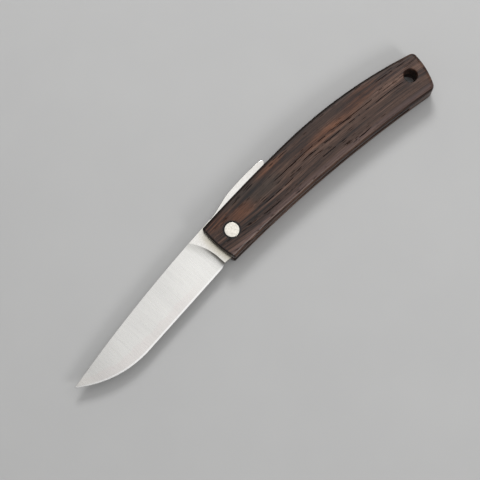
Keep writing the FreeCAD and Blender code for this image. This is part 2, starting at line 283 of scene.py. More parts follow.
def cleaned(
    name: str, mesh: bpy.types.Mesh, sharp: float, weld: float = 0.0004, level: float = 0.0
) -> bpy.types.Object:
    """Makes an object of a mesh: doubles merged, faces turned outwards, smooth up to an angle.

    Args:
        name: The piece's name.
        mesh: The mesh.
        sharp: The angle in degrees above which an edge stays sharp.
        weld: How close in millimetres two points merge.
        level: The angle in degrees up to which faces become one; at 0, faces without width are taken out.

    Returns:
        The new object, linked to the scene.
    """
    work = bmesh.new()
    work.from_mesh(mesh)
    bmesh.ops.remove_doubles(work, verts=work.verts, dist=weld * MM)
    if level:
        bmesh.ops.dissolve_limit(work, verts=work.verts, edges=work.edges, angle_limit=math.radians(level))
    else:
        bmesh.ops.dissolve_degenerate(work, edges=work.edges, dist=weld * MM / 4)
    bmesh.ops.recalc_face_normals(work, faces=work.faces)
    work.to_mesh(mesh)
    work.free()
    mesh.shade_smooth()
    mesh.set_sharp_from_angle(angle=math.radians(sharp))
    piece = bpy.data.objects.new(name, mesh)
    bpy.context.scene.collection.objects.link(piece)
    return piece


class Shell:
    """Gathers grids of points, in millimetres about the pivot, into one welded mesh."""

    def __init__(self) -> None:
        """Starts empty."""
        self._points: list[Array] = []
        self._quads: list[Array] = []
        self._count = 0

    def grid(self, points: Array, wrap: bool = False) -> None:
        """Adds a grid of quads.

        Args:
            points: The grid, (rows, columns, 3).
            wrap: Whether the last column joins the first.
        """
        rows, columns = points.shape[:2]
        index = self._count + np.arange(rows * columns).reshape(rows, columns)
        if wrap:
            index = np.concatenate([index, index[:, :1]], axis=1)
        quads = np.stack([index[:-1, :-1], index[:-1, 1:], index[1:, 1:], index[1:, :-1]], axis=-1)
        self._points.append(points.reshape(-1, 3))
        self._quads.append(quads.reshape(-1, 4))
        self._count += rows * columns

    def build(self, name: str, sharp: float) -> bpy.types.Object:
        """Makes the object.

        Args:
            name: The piece's name.
            sharp: The angle in degrees above which an edge stays sharp.

        Returns:
            The new object, linked to the scene.
        """
        mesh = bpy.data.meshes.new(name)
        points = np.concatenate(self._points) * MM + PIVOT
        mesh.from_pydata(points.tolist(), [], np.concatenate(self._quads).tolist())
        return cleaned(name, mesh, sharp)


def lifted(plan: Array, height: Union[float, Array]) -> Array:
    """Plan points with a height each."""
    heights = np.broadcast_to(np.asarray(height, float), plan.shape[:-1])
    return np.concatenate([plan, heights[..., None]], axis=-1)


def revolved(profile: Array, columns: int, centre: Point = (0.0, 0.0)) -> Array:
    """Points (radius, height) carried round an upright axis: (centre + radius (cos, sin), height)."""
    plan = np.asarray(centre) + profile[:, None, :1] * circle(ROUND * steps(columns))[None]
    return lifted(plan, profile[:, None, 1])


# Shader expressions

Value = Union["Field", float]
Spot = tuple[float, float, float, float]
Span = tuple[float, float, float, float]


@dataclass(frozen=True)
class Layer:
    """A fractal noise.

    Attributes:
        scale: How many waves it has to the millimetre along x, y and z.
        detail: How many finer octaves it has.
        rough: How strong each octave is beside the one before it.
    """

    scale: Triple
    detail: float
    rough: float = 0.5


@dataclass(frozen=True)
class Coat:
    """A colour that is laid over another.

    Attributes:
        colour: The colour.
        share: How much of it shows where it is full.
        blend: How it is laid over.
    """

    colour: Colour
    share: float = 1.0
    blend: Blend = Blend.OVER


class Field:
    """A socket whose value varies over a surface, with the arithmetic of Math nodes."""

    def __init__(self, finish: "Surface", socket: bpy.types.NodeSocket) -> None:
        """Wraps a socket of a surface's node tree."""
        self.finish = finish
        self.socket = socket

    def _math(self, operation: str, *values: Value) -> "Field":
        """Adds a Math node."""
        return self.finish.node("ShaderNodeMath", {"operation": operation}, dict(enumerate(values)))

    def __add__(self, other: Value) -> "Field":
        """Sum."""
        return self._math("ADD", self, other)

    __radd__ = __add__

    def __sub__(self, other: Value) -> "Field":
        """Difference."""
        return self._math("SUBTRACT", self, other)

    def __rsub__(self, other: Value) -> "Field":
        """Difference from a number."""
        return self._math("SUBTRACT", other, self)

    def __mul__(self, other: Value) -> "Field":
        """Product."""
        return self._math("MULTIPLY", self, other)

    __rmul__ = __mul__

    def __truediv__(self, other: Value) -> "Field":
        """Quotient."""
        return self._math("DIVIDE", self, other)

    def __rtruediv__(self, other: Value) -> "Field":
        """Quotient of a number."""
        return self._math("DIVIDE", other, self)

    def __pow__(self, other: Value) -> "Field":
        """Power."""
        return self._math("POWER", self, other)

    def __neg__(self) -> "Field":
        """The value with its sign turned."""
        return self._math("MULTIPLY", self, -1.0)

    def size(self) -> "Field":
        """The value without its sign."""
        return self._math("ABSOLUTE", self)

    def least(self, other: Value) -> "Field":
        """The smaller of two values."""
        return self._math("MINIMUM", self, other)

    def most(self, other: Value) -> "Field":
        """The greater of two values."""
        return self._math("MAXIMUM", self, other)

    def between(self, low: float, high: float) -> "Field":
        """A smooth step.

        Args:
            low: Where it is 0; this may be the greater of the two.
            high: Where it is 1.

        Returns:
            The step.
        """
        turn = {"interpolation_type": "SMOOTHSTEP", "clamp": True}
        if low < high:
            return self.finish.node("ShaderNodeMapRange", turn, {0: self, 1: low, 2: high})
        return 1 - self.finish.node("ShaderNodeMapRange", turn, {0: self, 1: high, 2: low})

    def band(self, low: float, full: float, still: float, high: float) -> "Field":
        """A smooth band: 0 up to low, 1 from full to still and 0 again from high."""
        return self.between(low, full) * self.between(high, still)


class Surface:
    """One material's nodes, with its Principled shader."""

    def __init__(self, name: str) -> None:
        """Starts a material with a bare Principled shader.

        Args:
            name: The material's name.
        """
        self.material = bpy.data.materials.new(name)
        self.material.use_nodes = True
        self.tree = self.material.node_tree
        self.shader = next(n for n in self.tree.nodes if n.type == "BSDF_PRINCIPLED")
        coordinates = self.tree.nodes.new("ShaderNodeTexCoord")
        self.place = Field(self, coordinates.outputs["Object"])

    def node(self, kind: str, settings: dict[str, Any], sockets: dict[Any, Any], output: Any = 0) -> Field:
        """Adds a node.

        Args:
            kind: The node's type.
            settings: Its properties, set first; "stops" fills a ramp with (place, colour) pairs.
            sockets: Values or fields by input name or number.
            output: The output that is wanted.

        Returns:
            That output as a field.
        """
        made = self.tree.nodes.new(kind)
        for key, value in settings.items():
            if key == "stops":
                ramp = made.color_ramp.elements
                while len(ramp) < len(value):
                    ramp.new(1.0)
                for element, (spot, colour) in zip(ramp, value):
                    element.position = spot
                    element.color = (*colour, 1.0)
            else:
                setattr(made, key, value)
        for key, value in sockets.items():
            self.feed(made.inputs[key], value)
        return Field(self, made.outputs[output])

    def feed(self, socket: bpy.types.NodeSocket, value: Any) -> None:
        """Links a field to a socket, or sets the socket's own value.

        Args:
            socket: The socket.
            value: A field, a number, a colour or a vector.
        """
        if isinstance(value, Field):
            self.tree.links.new(value.socket, socket)
        elif isinstance(value, tuple) and socket.type == "RGBA":
            socket.default_value = (*value, 1.0)
        else:
            socket.default_value = value

    def millimetres(self, turn: float = 0.0) -> Field:
        """Object coordinates in millimetres about the pivot.

        Args:
            turn: The angle in degrees by which the pattern's own x leaves the knife's.

        Returns:
            The coordinates.
        """
        moved = self.node("ShaderNodeMapping", {}, {"Vector": self.place, "Location": tuple(-PIVOT)})
        sockets = {"Vector": moved, "Rotation": (0, 0, math.radians(-turn)), "Scale": (1 / MM,) * 3}
        return self.node("ShaderNodeMapping", {}, sockets)

    def stretched(self, at: Field, scale: Triple, shift: Triple) -> Field:
        """Coordinates scaled along each axis, then shifted."""
        return self.node("ShaderNodeMapping", {}, {"Vector": at, "Scale": scale, "Location": shift})

    def axes(self, coordinates: Field) -> tuple[Field, Field, Field]:
        """The three numbers of a coordinate."""
        outputs = self.node("ShaderNodeSeparateXYZ", {}, {0: coordinates}).socket.node.outputs
        return Field(self, outputs[0]), Field(self, outputs[1]), Field(self, outputs[2])

    def noise(self, at: Field, layer: Layer, shift: Triple = (0.0, 0.0, 0.0)) -> Field:
        """Fractal noise from 0 to 1.

        Args:
            at: The coordinates in millimetres.
            layer: Its scale and its octaves.
            shift: Which part of the endless noise is taken.

        Returns:
            The noise.
        """
        place = self.stretched(at, layer.scale, shift)
        sockets = {"Vector": place, "Scale": 1.0, "Detail": layer.detail, "Roughness": layer.rough}
        return self.node("ShaderNodeTexNoise", {}, sockets, "Fac")

    def mix(self, low: Any, high: Any, share: Value, blend: Blend = Blend.OVER) -> Field:
        """Two colours mixed by a share."""
        settings = {"data_type": "RGBA", "blend_type": blend.value, "clamp_factor": True}
        return self.node("ShaderNodeMix", settings, {0: share, 6: low, 7: high}, 2)

    def coated(self, colour: Any, coat: Coat, where: Value) -> Field:
        """A colour with a coat laid over it."""
        return self.mix(colour, coat.colour, where * coat.share, coat.blend)

    def bump(self, height: Field, depth: float) -> Field:
        """A normal tilted by a height, whose unit stands for a depth in millimetres."""
        return self.node("ShaderNodeBump", {}, {"Height": height, "Strength": 1.0, "Distance": depth * MM})

    def finish(self, **sockets: Any) -> bpy.types.Material:
        """Feeds the shader's sockets, with spaces written as underscores.

        Args:
            sockets: Values or fields by socket name.

        Returns:
            The material.
        """
        for key, value in sockets.items():
            self.feed(self.shader.inputs[key.replace("_", " ")], value)
        return self.material

    def pitted(self, colour: Colour, share: Field) -> bpy.types.Material:
        """Mixes a dull colour without gloss over the shader where there are pits.

        Args:
            colour: The pits' colour.
            share: How much of the surface is pit.

        Returns:
            The material.
        """
        dull = self.node("ShaderNodeBsdfDiffuse", {}, {"Color": colour})
        shader = Field(self, self.shader.outputs[0])
        both = self.node("ShaderNodeMixShader", {}, {0: share, 1: shader, 2: dull})
        end = next(n for n in self.tree.nodes if n.type == "OUTPUT_MATERIAL")
        self.feed(end.inputs["Surface"], both)
        return self.material


# Finishes

SPECKLE = Layer((1.5, 1.5, 1.5), 3.0, 0.7)


def within(arc: Arc, x: Field, y: Field) -> Field:
    """How far to an arc's left a place lies: radius less distance from the centre, with the sweep's sign."""
    off_x, off_y = x - arc.centre[0], y - arc.centre[1]
    return (arc.radius - (off_x * off_x + off_y * off_y) ** 0.5) * math.copysign(1.0, arc.sweep)


@dataclass(frozen=True)
class DarkWood:
    """Dark open-pored hardwood with an oil finish and its grain along the handle.

    Lengths are in millimetres. A pair of them is where something is absent and where it is full, and four
    are where it starts, is full, starts to fade and is gone.

    Attributes:
        name: The material's name.
        handle: The handle, whose outline the painted sheen, the glossier belly band and the painted shade
            follow.
        cut: Where in the log the piece was cut.
        arch: The grain's height, the x of its apex and how flat it is.
        climb: The x in front of which the lower grain climbs, and how steeply.
        stops: The colours from the darkest streak to the palest.
        rows: The rows of large pores, as (place across the grain, where it starts, where it ends).
        tints: Patches of another tint, as the tint and its soft ellipses: greyish, warm, deep and pale.
    """

    name: str
    handle: "Handle"
    cut: Triple = (0.0, 0.0, 0.0)
    arch: Triple = (3.9, 48.0, 900.0)
    climb: Point = (30.0, 0.0036)
    wander_width: float = 1.4
    lower_half: Point = (7.0, -3.0)
    busy_front: Point = (46.0, 20.0)
    wander: Layer = Layer((0.03, 0.09, 0.09), 1.0)
    bands: Layer = Layer((0.014, 0.30, 0.24), 2.0)
    streaks: Layer = Layer((0.030, 1.15, 0.9), 3.0, 0.65)
    hairs: Layer = Layer((0.08, 4.2, 3.4), 2.0, 0.6)
    flecks: Layer = Layer((0.45, 5.5, 4.5), 2.0, 0.6)
    sway: Layer = Layer((0.12, 0.3, 0.3), 1.0)
    breaks: Layer = Layer((0.25, 0.5, 0.5), 1.5)
    crowds: Layer = Layer((0.03, 0.55, 0.5), 1.0)
    vessels: Triple = (0.17, 2.3, 1.9)
    row_half: Point = (0.18, 0.09)
    row_taper: float = 3.0
    # Painted sheen: a paler colour laid over the belly's rounding.
    rub_marks_and_sheen: Coat = Coat((0.130, 0.085, 0.079), 0.4)
    sheen_depth: Span = (0.4, 1.4, 1.9, 3.4)
    smooth_depth: Span = (0.1, 0.4, 1.4, 2.2)
    brink: Point = (1.2, 4.8)
    seam_half: float = 0.1
    # Painted shade: a dark band along the back edge, near the top and bottom faces.
    back_edge_shade: Coat = Coat((0.009, 0.006, 0.005), 0.85)
    back_shade_depth: Point = (2.1, 0.4)
    back_shade_run: Point = (102.0, 88.0)
    # Painted shade: a dark band on the handle's front end.
    front_end_shade: Coat = Coat((0.010, 0.007, 0.006), 0.85)
    front_shade_depth: Point = (0.9, 0.3)
    front_shade_run: Point = (30.0, 10.0)
    # Painted shade: darker in and round the rivet's seat, out to a ring on the face.
    seat: Coat = Coat((0.005, 0.004, 0.004), 0.9)
    seat_shade_rim: Point = (0.75, 0.25)
    pit: Colour = (0.004, 0.003, 0.003)
    stops: tuple[tuple[float, Colour], ...] = (
        (0.08, (0.004, 0.003, 0.003)),
        (0.32, (0.018, 0.008, 0.006)),
        (0.50, (0.051, 0.025, 0.016)),
        (0.68, (0.092, 0.049, 0.033)),
        (0.92, (0.160, 0.094, 0.070)),
    )
    rows: tuple[Triple, ...] = (
        (0.1, 24, 92), (-1.9, 38, 93), (-3.9, 16, 34), (-5.9, 44, 60), (-9.0, 56, 70),
        (5.5, 8, 20), (5.9, 26, 39), (4.7, 82, 99), (-7.2, 4, 24),
    )
    tints: tuple[tuple[Colour, tuple[Spot, ...]], ...] = (
        ((0.73, 0.93, 1.03), ((12.0, 8.3, 11.0, 3.6), (21.0, 4.2, 10.0, 4.0))),
        ((1.40, 1.04, 0.74), (
            (56.0, 5.0, 20.0, 2.8), (75.0, 7.4, 11.0, 3.6), (27.0, 9.6, 10.0, 2.8),
            (7.0, 3.0, 8.0, 4.5), (-3.0, 6.0, 7.0, 3.0),
        )),
        ((0.64, 0.62, 0.62), ((62.0, -3.0, 36.0, 3.2), (54.0, 10.6, 26.0, 3.2))),
        ((1.42, 1.48, 1.55), ((88.0, 5.0, 13.0, 6.0), (100.0, 3.0, 8.0, 8.0))),
    )

    @staticmethod
    def patches(spots: tuple[Spot, ...], x: Field, y: Field) -> Field:
        """Soft ellipses, each 1 in its middle and falling off by the square of the distance.

        Args:
            spots: The ellipses, as (x, y, half length, half width).
            x: The place along the handle.
            y: The place across it.

        Returns:
            Their sum, at most 1.
        """
        total: Value = 0.0
        for spot_x, spot_y, half_x, half_y in spots:
            off_x, off_y = (x - spot_x) / half_x, (y - spot_y) / half_y
            total = (1 - (off_x * off_x + off_y * off_y)).most(0.0) + total
        return total.least(1.0)

    def material(self) -> bpy.types.Material:
        """Builds the material.

        The grain's own height w = y - level + (x - apex)^2 / bend follows the handle, and climbs towards the
        front in its lower half. Bands, streaks, hairs and flecks are noise drawn out along x, and the small
        pores are cells drawn out the same way. The belly's rounding gets a painted sheen, a paler colour, and
        is smoother; painted shade darkens the back edge, the front end, the rivet's seat and a ring round it.

        Returns:
            The material.
        """
        s = Surface(self.name)
        place = s.millimetres()
        x, y, z = s.axes(place)
        level, apex, bend = self.arch
        dip = (self.climb[0] - x).most(0.0)
        lower = y.between(*self.lower_half)
        wander = s.noise(place, self.wander, self.cut) - 0.5
        off = x - apex
        w = y - level + off * off / bend - dip * dip * lower * self.climb[1] + wander * self.wander_width
        grain = s.node("ShaderNodeCombineXYZ", {}, {0: x, 1: w, 2: z})
        layers = (self.bands, self.streaks, self.hairs, self.flecks, self.sway)
        bands, streaks, hairs, flecks, sway = (s.noise(grain, layer, self.cut) - 0.5 for layer in layers)
        busy = lower * x.between(*self.busy_front) + 1.0
        tone = flecks * 0.4 + bands + streaks * busy + hairs * 0.9 + 0.5
        colour = s.node("ShaderNodeValToRGB", {"stops": self.stops}, {0: tone})
        for tint, spots in self.tints:
            colour = s.mix(colour, tint, self.patches(spots, x, y), Blend.TIMES)

        inside = {name: within(arc, x, y) for name, arc in self.handle.arcs.items()}
        crown = self.handle.crown[0]
        rear = x.between(crown - self.seam_half, crown + self.seam_half)
        behind = inside["back"] * (1 - rear) + inside["rear"] * rear
        brink = (z - self.handle.thickness / 2).size().between(*self.brink)
        # Painted shade along the back edge, near the top and bottom faces.
        back_edge_shade = behind.between(*self.back_shade_depth) * brink * x.between(*self.back_shade_run)
        clear, full = (self.handle.seat_radius + rim for rim in self.seat_shade_rim)
        # Painted sheen on the belly's rounding; painted shade on the back edge, the front end and in and
        # round the rivet's seat.
        for coat, where in (
            (self.rub_marks_and_sheen, inside["belly"].band(*self.sheen_depth)),
            (self.back_edge_shade, back_edge_shade),
            # Painted shade on the front end.
            (self.front_end_shade, inside["front"].between(*self.front_shade_depth) * x.between(*self.front_shade_run) * brink),
            # Painted shade in and round the rivet's seat.
            (self.seat, ((x * x + y * y) ** 0.5).between(clear, full)),
        ):
            colour = s.coated(colour, coat, where)

        veer = sway * 0.3 + hairs * 0.15
        rows: Value = 0.0
        for middle, start, stop in self.rows:
            line = (w - middle + veer).size().between(*self.row_half)
            rows = line * x.band(start, start + self.row_taper, stop - self.row_taper, stop) + rows
        broken = s.noise(grain, self.breaks, self.cut).between(0.43, 0.48)
        crowd = s.noise(grain, self.crowds, self.cut).between(0.42, 0.62)
        sockets = {"Vector": s.stretched(grain, self.vessels, self.cut), "Scale": 1.0, "Randomness": 1.0}
        cells = s.node("ShaderNodeTexVoronoi", {}, sockets, "Distance") + hairs * 0.25
        pores = (rows * broken).most((crowd * 0.20 + 0.09 - cells).between(0.0, 0.05) * 0.9)
        smooth = inside["belly"].band(*self.smooth_depth)
        height = (streaks * 0.5 + hairs * 0.5) * (1 - smooth * 0.6) - pores
        rough = 0.46 + hairs * 0.25 - smooth * 0.20
        s.finish(Base_Color=colour, Roughness=rough, Normal=s.bump(height, 0.08), Specular_IOR_Level=0.28)
        # The glossless dark mix covers the pores, and at half strength the back edge as painted shade.
        return s.pitted(self.pit, (pores * 0.94).most(back_edge_shade * 0.5))


@dataclass(frozen=True)
class Steel:
    """Faced or drawn steel.

    Attributes:
        name: The material's name.
        colour: Its colour.
        rough: Its roughness.
        lines: How deep its finish lines are, in millimetres.
        turn: The angle of the pattern's x, in degrees; the lines run across it.
        pitch: How many lines to the millimetre.
        dim: How bright its darkest specks are beside the colour.
    """

    name: str
    colour: Colour
    rough: float
    lines: float
    turn: float
    pitch: float
    dim: float = 0.74

    def material(self) -> bpy.types.Material:
        """Builds the material: fine finish lines, a speckle and a little variation in gloss.

        Returns:
            The material.
        """
        s = Surface(self.name)
        place = s.millimetres(self.turn)
        fine = s.noise(place, Layer((self.pitch, 0.12, 0.4), 3.0, 0.6))
        specks = fine * 0.4 + s.noise(place, SPECKLE) * 0.6
        colour = s.mix(tuple(c * self.dim for c in self.colour), self.colour, specks.between(0.36, 0.60))
        rough = self.rough - 0.05 + fine * 0.10
        return s.finish(Base_Color=colour, Metallic=1.0, Roughness=rough, Normal=s.bump(fine, self.lines))


@dataclass(frozen=True)
class BladeSteel:
    """Clad blade steel: satin on the ground faces, polished on the flats and the lever.

    Lengths are in millimetres. A pair of them is where something is absent and where it is full, and four
    are where it starts, is full, starts to fade and is gone. A run goes along the blade, from the plunge or
    from the handle, and a rise goes across.

    Attributes:
        blade: The blade, whose axes the finish follows.
        name: The material's name.
        core: The core's colour, which shows along the edge below a wavy border.
        dull_and_shade_tints: What the ground faces and the flats are multiplied by where they are dull; on
            the ground faces this also paints shade towards the spine and along the blade.
        satin: The ground faces' roughness.
        polish: The flats' roughness.
        plunge_line_shade: Painted shade, a dark line in front of the plunge, with broader painted shade round
            it.
        handle_shade: Painted shade and reflection of the handle's dark front end, a warm darkening of the
            flat in front of it.
    """

    blade: "Blade"
    name: str = "clad_steel"
    clad: Colour = (0.742, 0.733, 0.708)
    core: Colour = (0.735, 0.706, 0.683)
    flats: Colour = (0.71, 0.695, 0.67)
    dull_and_shade_tints: tuple[Colour, Colour] = ((0.81, 0.81, 0.815), (0.73, 0.72, 0.70))
    satin: float = 0.28
    polish: float = 0.25
    lines: Layer = Layer((6.0, 0.10, 0.4), 3.0, 0.6)
    grind: Layer = Layer((1.3, 0.03, 0.2), 2.0)
    rub_marks_and_sheen: Layer = Layer((0.15, 7.0, 0.4), 2.0, 0.6)
    cloud: Layer = Layer((0.09, 0.05, 0.1), 2.0)
    wave: Layer = Layer((0.16, 0.05, 0.1), 2.0, 0.55)
    core_width: float = 4.2
    core_wave: float = 4.0
    core_border: Point = (-0.4, 0.5)
    core_run: Point = (6.0, 26.0)
    flat_border: Point = (-0.12, 0.12)
    # Painted shade on the ground faces: darker towards the spine and along the blade.
    shade_run: Point = (2.0, 26.0)
    shade_rise: Point = (3.0, 17.0)
    # Painted light: a paler colour towards the tip.
    tip_light: Coat = Coat((0.83, 0.81, 0.77), 0.7)
    tip_light_run: Point = (65.0, 73.0)
    # Painted shade: a dark line in front of the plunge and a broader dusk round it.
    plunge_line_shade: Coat = Coat((0.52, 0.51, 0.49), 1.0, Blend.TIMES)
    plunge_line_run: Span = (0.0, 0.15, 0.3, 1.4)
    plunge_line_rise: Point = (15.5, 2.5)
    plunge_dusk_shade: Coat = Coat((0.80, 0.80, 0.79), 1.0, Blend.TIMES)
    plunge_dusk_run: Span = (-0.1, 0.2, 0.8, 4.5)
    plunge_dusk_rise: Point = (2.0, 9.0)
    # Painted shade: darker towards the lever's end.
    lever: Coat = Coat((0.50, 0.47, 0.44), 0.4)
    lever_shade_run: Point = (14.0, 28.0)
    # Painted shade and reflection: the flat is warmer and darker in front of the handle.
    handle_shade: Coat = Coat((0.42, 0.378, 0.275))
    handle_shade_run: Span = (-5.0, -2.0, 0.1, 4.5)
    handle_shade_rise: Point = (9.0, 3.0)
    honed: Coat = Coat((0.86, 0.86, 0.85), 0.7)
    honed_rise: Point = (0.15, -0.1)

    def material(self) -> bpy.types.Material:
        """Builds the material.

        The finish lines run across the blade on its ground faces and along it on its flats. The flats lie
        behind the plunge, s < R - root(R^2 - (a - b)^2), and the core's wavy border follows the edge.

        Returns:
            The material.
        """
        s = Surface(self.name)
        blade = self.blade
        place = s.millimetres(math.degrees(bearing(-blade.along)))
        back, up, _ = s.axes(place)
        along = -back - float(blade.foot @ blade.along)
        across = up - float(blade.foot @ blade.across)
        rise = (across - blade.straight).most(0.0).least(blade.sweep)
        plunge = blade.sweep - (blade.sweep**2 - rise * rise) ** 0.5
        flat = (plunge - along).between(*self.flat_border)
        ground = 1 - flat
        turn = blade.belly_arc.radius
        past = (along - blade.own_belly[0]).most(0.0).least(turn)
        edge = across - turn + (turn**2 - past * past) ** 0.5
        layers = (self.lines, self.grind, self.rub_marks_and_sheen, self.cloud, SPECKLE, self.wave)
        lines, grind, rub_marks_and_sheen, cloud, speckle, wave = (s.noise(place, layer) for layer in layers)

        border = self.core_width + (wave - 0.5) * self.core_wave
        core = (border - edge).between(*self.core_border) * along.between(*self.core_run)
        # Painted light: the blade is paler towards the tip.
        tip_light = along.between(*self.tip_light_run)
        colour = s.mix(s.coated(s.mix(self.clad, self.core, core), self.tip_light, tip_light), self.flats, flat)
        texture = (lines * 0.45 + grind * 0.25 + cloud * 0.3) * ground + (rub_marks_and_sheen * 0.3 + speckle * 0.7) * flat
        # Painted shade: darker towards the spine and along the blade, less so near the tip.
        shade = across.between(*self.shade_rise) * 0.3 + along.between(*self.shade_run) * (1 - tip_light) * 0.5
        # The dulling mixes the finish's own mottle with the painted shade.
        wear_and_shade = (1 - texture.between(0.34, 0.60)) * 0.5 + shade * ground
        colour = s.mix(colour, s.mix(*self.dull_and_shade_tints, flat), wear_and_shade, Blend.TIMES)
        run = along - plunge
        x, y, _ = s.axes(s.millimetres())
        ahead = -within(blade.handle.arcs["front"], x, y)
        clear, full = (blade.shoulder + off for off in self.honed_rise)
        for coat, where in (
            # Painted shade in front of the plunge.
            (self.plunge_line_shade, run.band(*self.plunge_line_run) * across.between(*self.plunge_line_rise)),
            (self.plunge_dusk_shade, run.band(*self.plunge_dusk_run) * across.between(*self.plunge_dusk_rise)),
            # Painted shade towards the lever's end.
            (self.lever, x.between(*self.lever_shade_run)),
            # Painted shade and reflection of the handle's front end.
            (self.handle_shade, ahead.band(*self.handle_shade_run) * (y.between(*self.handle_shade_rise) * 0.42 + 0.24)),
            (self.honed, edge.between(clear, full) * ground),
        ):
            colour = s.coated(colour, coat, where)
        rough = self.satin + (lines - 0.5) * 0.12 - flat * (self.satin - self.polish)
        height = lines * ground + rub_marks_and_sheen * flat * 0.4
        return s.finish(Base_Color=colour, Metallic=1.0, Roughness=rough, Normal=s.bump(height, 0.002))


@dataclass(frozen=True)
class Bronze:
    """Rolled bronze sheet, a little tarnished, with the angle of its rolling in degrees."""

    name: str = "bronze_sheet"
    bright: Colour = (0.62, 0.44, 0.24)
    tarnish: Colour = (0.34, 0.21, 0.11)
    turn: float = 20.0
    rolled: Layer = Layer((0.3, 5.0, 1.0), 2.0)
    patch: Layer = Layer((0.5, 0.5, 0.5), 3.0, 0.6)

    def material(self) -> bpy.types.Material:
        """Builds the material: rolled streaks and patches of tarnish.

        Returns:
            The material.
        """
        s = Surface(self.name)
        place = s.millimetres(self.turn)
        rolled = s.noise(place, self.rolled)
        colour = s.mix(self.bright, self.tarnish, s.noise(place, self.patch).between(0.45, 0.7))
        normal = s.bump(rolled, 0.004)
        return s.finish(Base_Color=colour, Metallic=1.0, Roughness=0.3 + rolled * 0.2, Normal=normal)


# The handle


@dataclass
class Handle:
    """Two wooden scales and the strip between them, with the sizes in millimetres about the pivot."""

    front_top: Point = (-8.3, 8.23)
    front_low: Point = (-6.3, -8.95)
    crown: Point = (39.9, 12.69)
    butt_top: Point = (103.595, 6.68)
    butt_low: Point = (99.695, -10.4)
    front_bulge: float = 0.88
    back_bulge: float = 0.4
    butt_bulge: float = 1.25
    belly_hollow: float = 2.4
    edge_round: float = 1.8
    front_ease: float = 0.5
    least_nose: float = 0.02
    butt_top_radius: float = 2.1
    butt_low_radius: float = 3.1
    thickness: float = 10.56
    scale_thickness: float = 3.9
    joint_ease: float = 0.06
    joint_bow: float = 0.3
    seat_radius: float = 3.2
    seat_depth: float = 1.1
    shank_radius: float = 2.05
    mouth_ease: float = 0.05
    hole_reach: float = 95.795
    hole_radius: float = 2.85
    hole_ease: float = 0.35
    hole_row: float = 1.0
    strip_ease: float = 0.06
    strip_weld: float = 0.002
    strip_level: float = 0.05
    strip_sharp: float = 32.0
    sharp: float = 38.0
    near_columns: int = 24
    middle_columns: int = 132
    rear_columns: int = 103
    back_columns: int = 77
    end_columns: int = 24
    corner_columns: int = 12
    nose_columns: int = 6
    round_rows: int = 19
    lip_rows: int = 6
    face_shares: tuple[float, ...] = (0.0, 0.02, 0.12, 0.4, 0.7, 1.0)
    arcs: dict[str, Arc] = field(init=False)

    def __post_init__(self) -> None:
        """Works out the outline's arcs, anticlockwise from the front, and the columns round each hole."""
        back = Arc.bulged(self.crown, self.front_top, self.back_bulge)
        rear = Arc.leaving(self.crown, -back.tangent(0.0), self.butt_top)
        self.arcs = {
            "front": Arc.bulged(self.front_top, self.front_low, self.front_bulge),
            "belly": Arc.bulged(self.front_low, self.butt_low, -self.belly_hollow),
            "butt": Arc.bulged(self.butt_low, self.butt_top, self.butt_bulge),
            "rear": Arc(rear.centre, rear.radius, rear.start + rear.sweep, -rear.sweep),
            "back": back,
        }
        self.round_front = 2 * self.near_columns + 2 * self.nose_columns + self.end_columns
        self.round_rear = 2 * self.near_columns + 2 * self.corner_columns + self.end_columns

    def outline(self, side: float, front: float) -> Array:
        """The outline with its sides and front moved in, each corner rounded by what is left of its radius.

        Args:
            side: How far the back, butt and belly are moved in.
            front: How far the front is moved in.

        Returns:
            Points as (columns, 2), the same columns at any depth.
        """
        nose = max(self.front_ease - front, self.least_nose)
        moved = {name: arc.inset(front if name == "front" else side) for name, arc in self.arcs.items()}
        front_arc, belly = meeting(moved["front"], moved["belly"])
        back, front_arc = meeting(moved["back"], front_arc)
        front_arc, nose_low, belly = rounded(front_arc, belly, nose)
        back, nose_top, front_arc = rounded(back, front_arc, nose)
        belly, low, butt = rounded(belly, moved["butt"], self.butt_low_radius - side)
        butt, top, rear = rounded(butt, moved["rear"], self.butt_top_radius - side)
        runs = [
            (front_arc, self.end_columns),
            (nose_low, self.nose_columns),
            (belly, 2 * self.near_columns + self.middle_columns),
            (low, self.corner_columns),
            (butt, self.end_columns),
            (top, self.corner_columns),
            (rear, self.rear_columns),
            (back, self.back_columns),
            (nose_top, self.nose_columns),
        ]
        return np.concatenate([arc.at(steps(count)) for arc, count in runs])

    def slit(self, near_radius: float, far_radius: float) -> Array:
        """The loop inside a face: round the pivot, along the middle line, round the lanyard hole and back.

        Args:
            near_radius: The radius about the pivot.
            far_radius: The radius about the lanyard hole.

        Returns:
            Points as (columns, 2), one for each of the outline's.
        """
        near = near_radius * circle(ROUND * steps(self.round_front))
        far = [self.hole_reach, 0.0] + far_radius * circle(math.pi + ROUND * steps(self.round_rear))
        start, end = near_radius, self.hole_reach - far_radius
        share = steps(self.middle_columns)
        runs = (start + (end - start) * share, end + (start - end) * share)
        out, home = (np.stack([run, np.zeros_like(run)], -1) for run in runs)
        loop = np.concatenate([near, out, far, home])
        return np.roll(loop, -(self.near_columns + self.nose_columns), axis=0)

    def _levels(self) -> Array:
        """The wall's profile over the joint: an eased foot, the wall and the quarter rounds.

        Returns:
            Rows of (side depth, front depth, height).
        """
        top = self.scale_thickness
        angle = np.linspace(0, QUARTER, self.round_rows)
        height = top - self.edge_round * (1 - np.sin(angle))
        lift = np.clip((height - (top - self.front_ease)) / self.front_ease, 0, 1)
        front = self.front_ease * (1 - np.sqrt(1 - lift**2))
        curve = np.stack([self.edge_round * (1 - np.cos(angle)), front, height], -1)
        ease, bow = self.joint_ease, self.joint_ease * self.joint_bow
        return np.concatenate([[[ease, ease, 0], [bow, bow, bow], [0, 0, ease], [0, 0, top / 3]], curve])

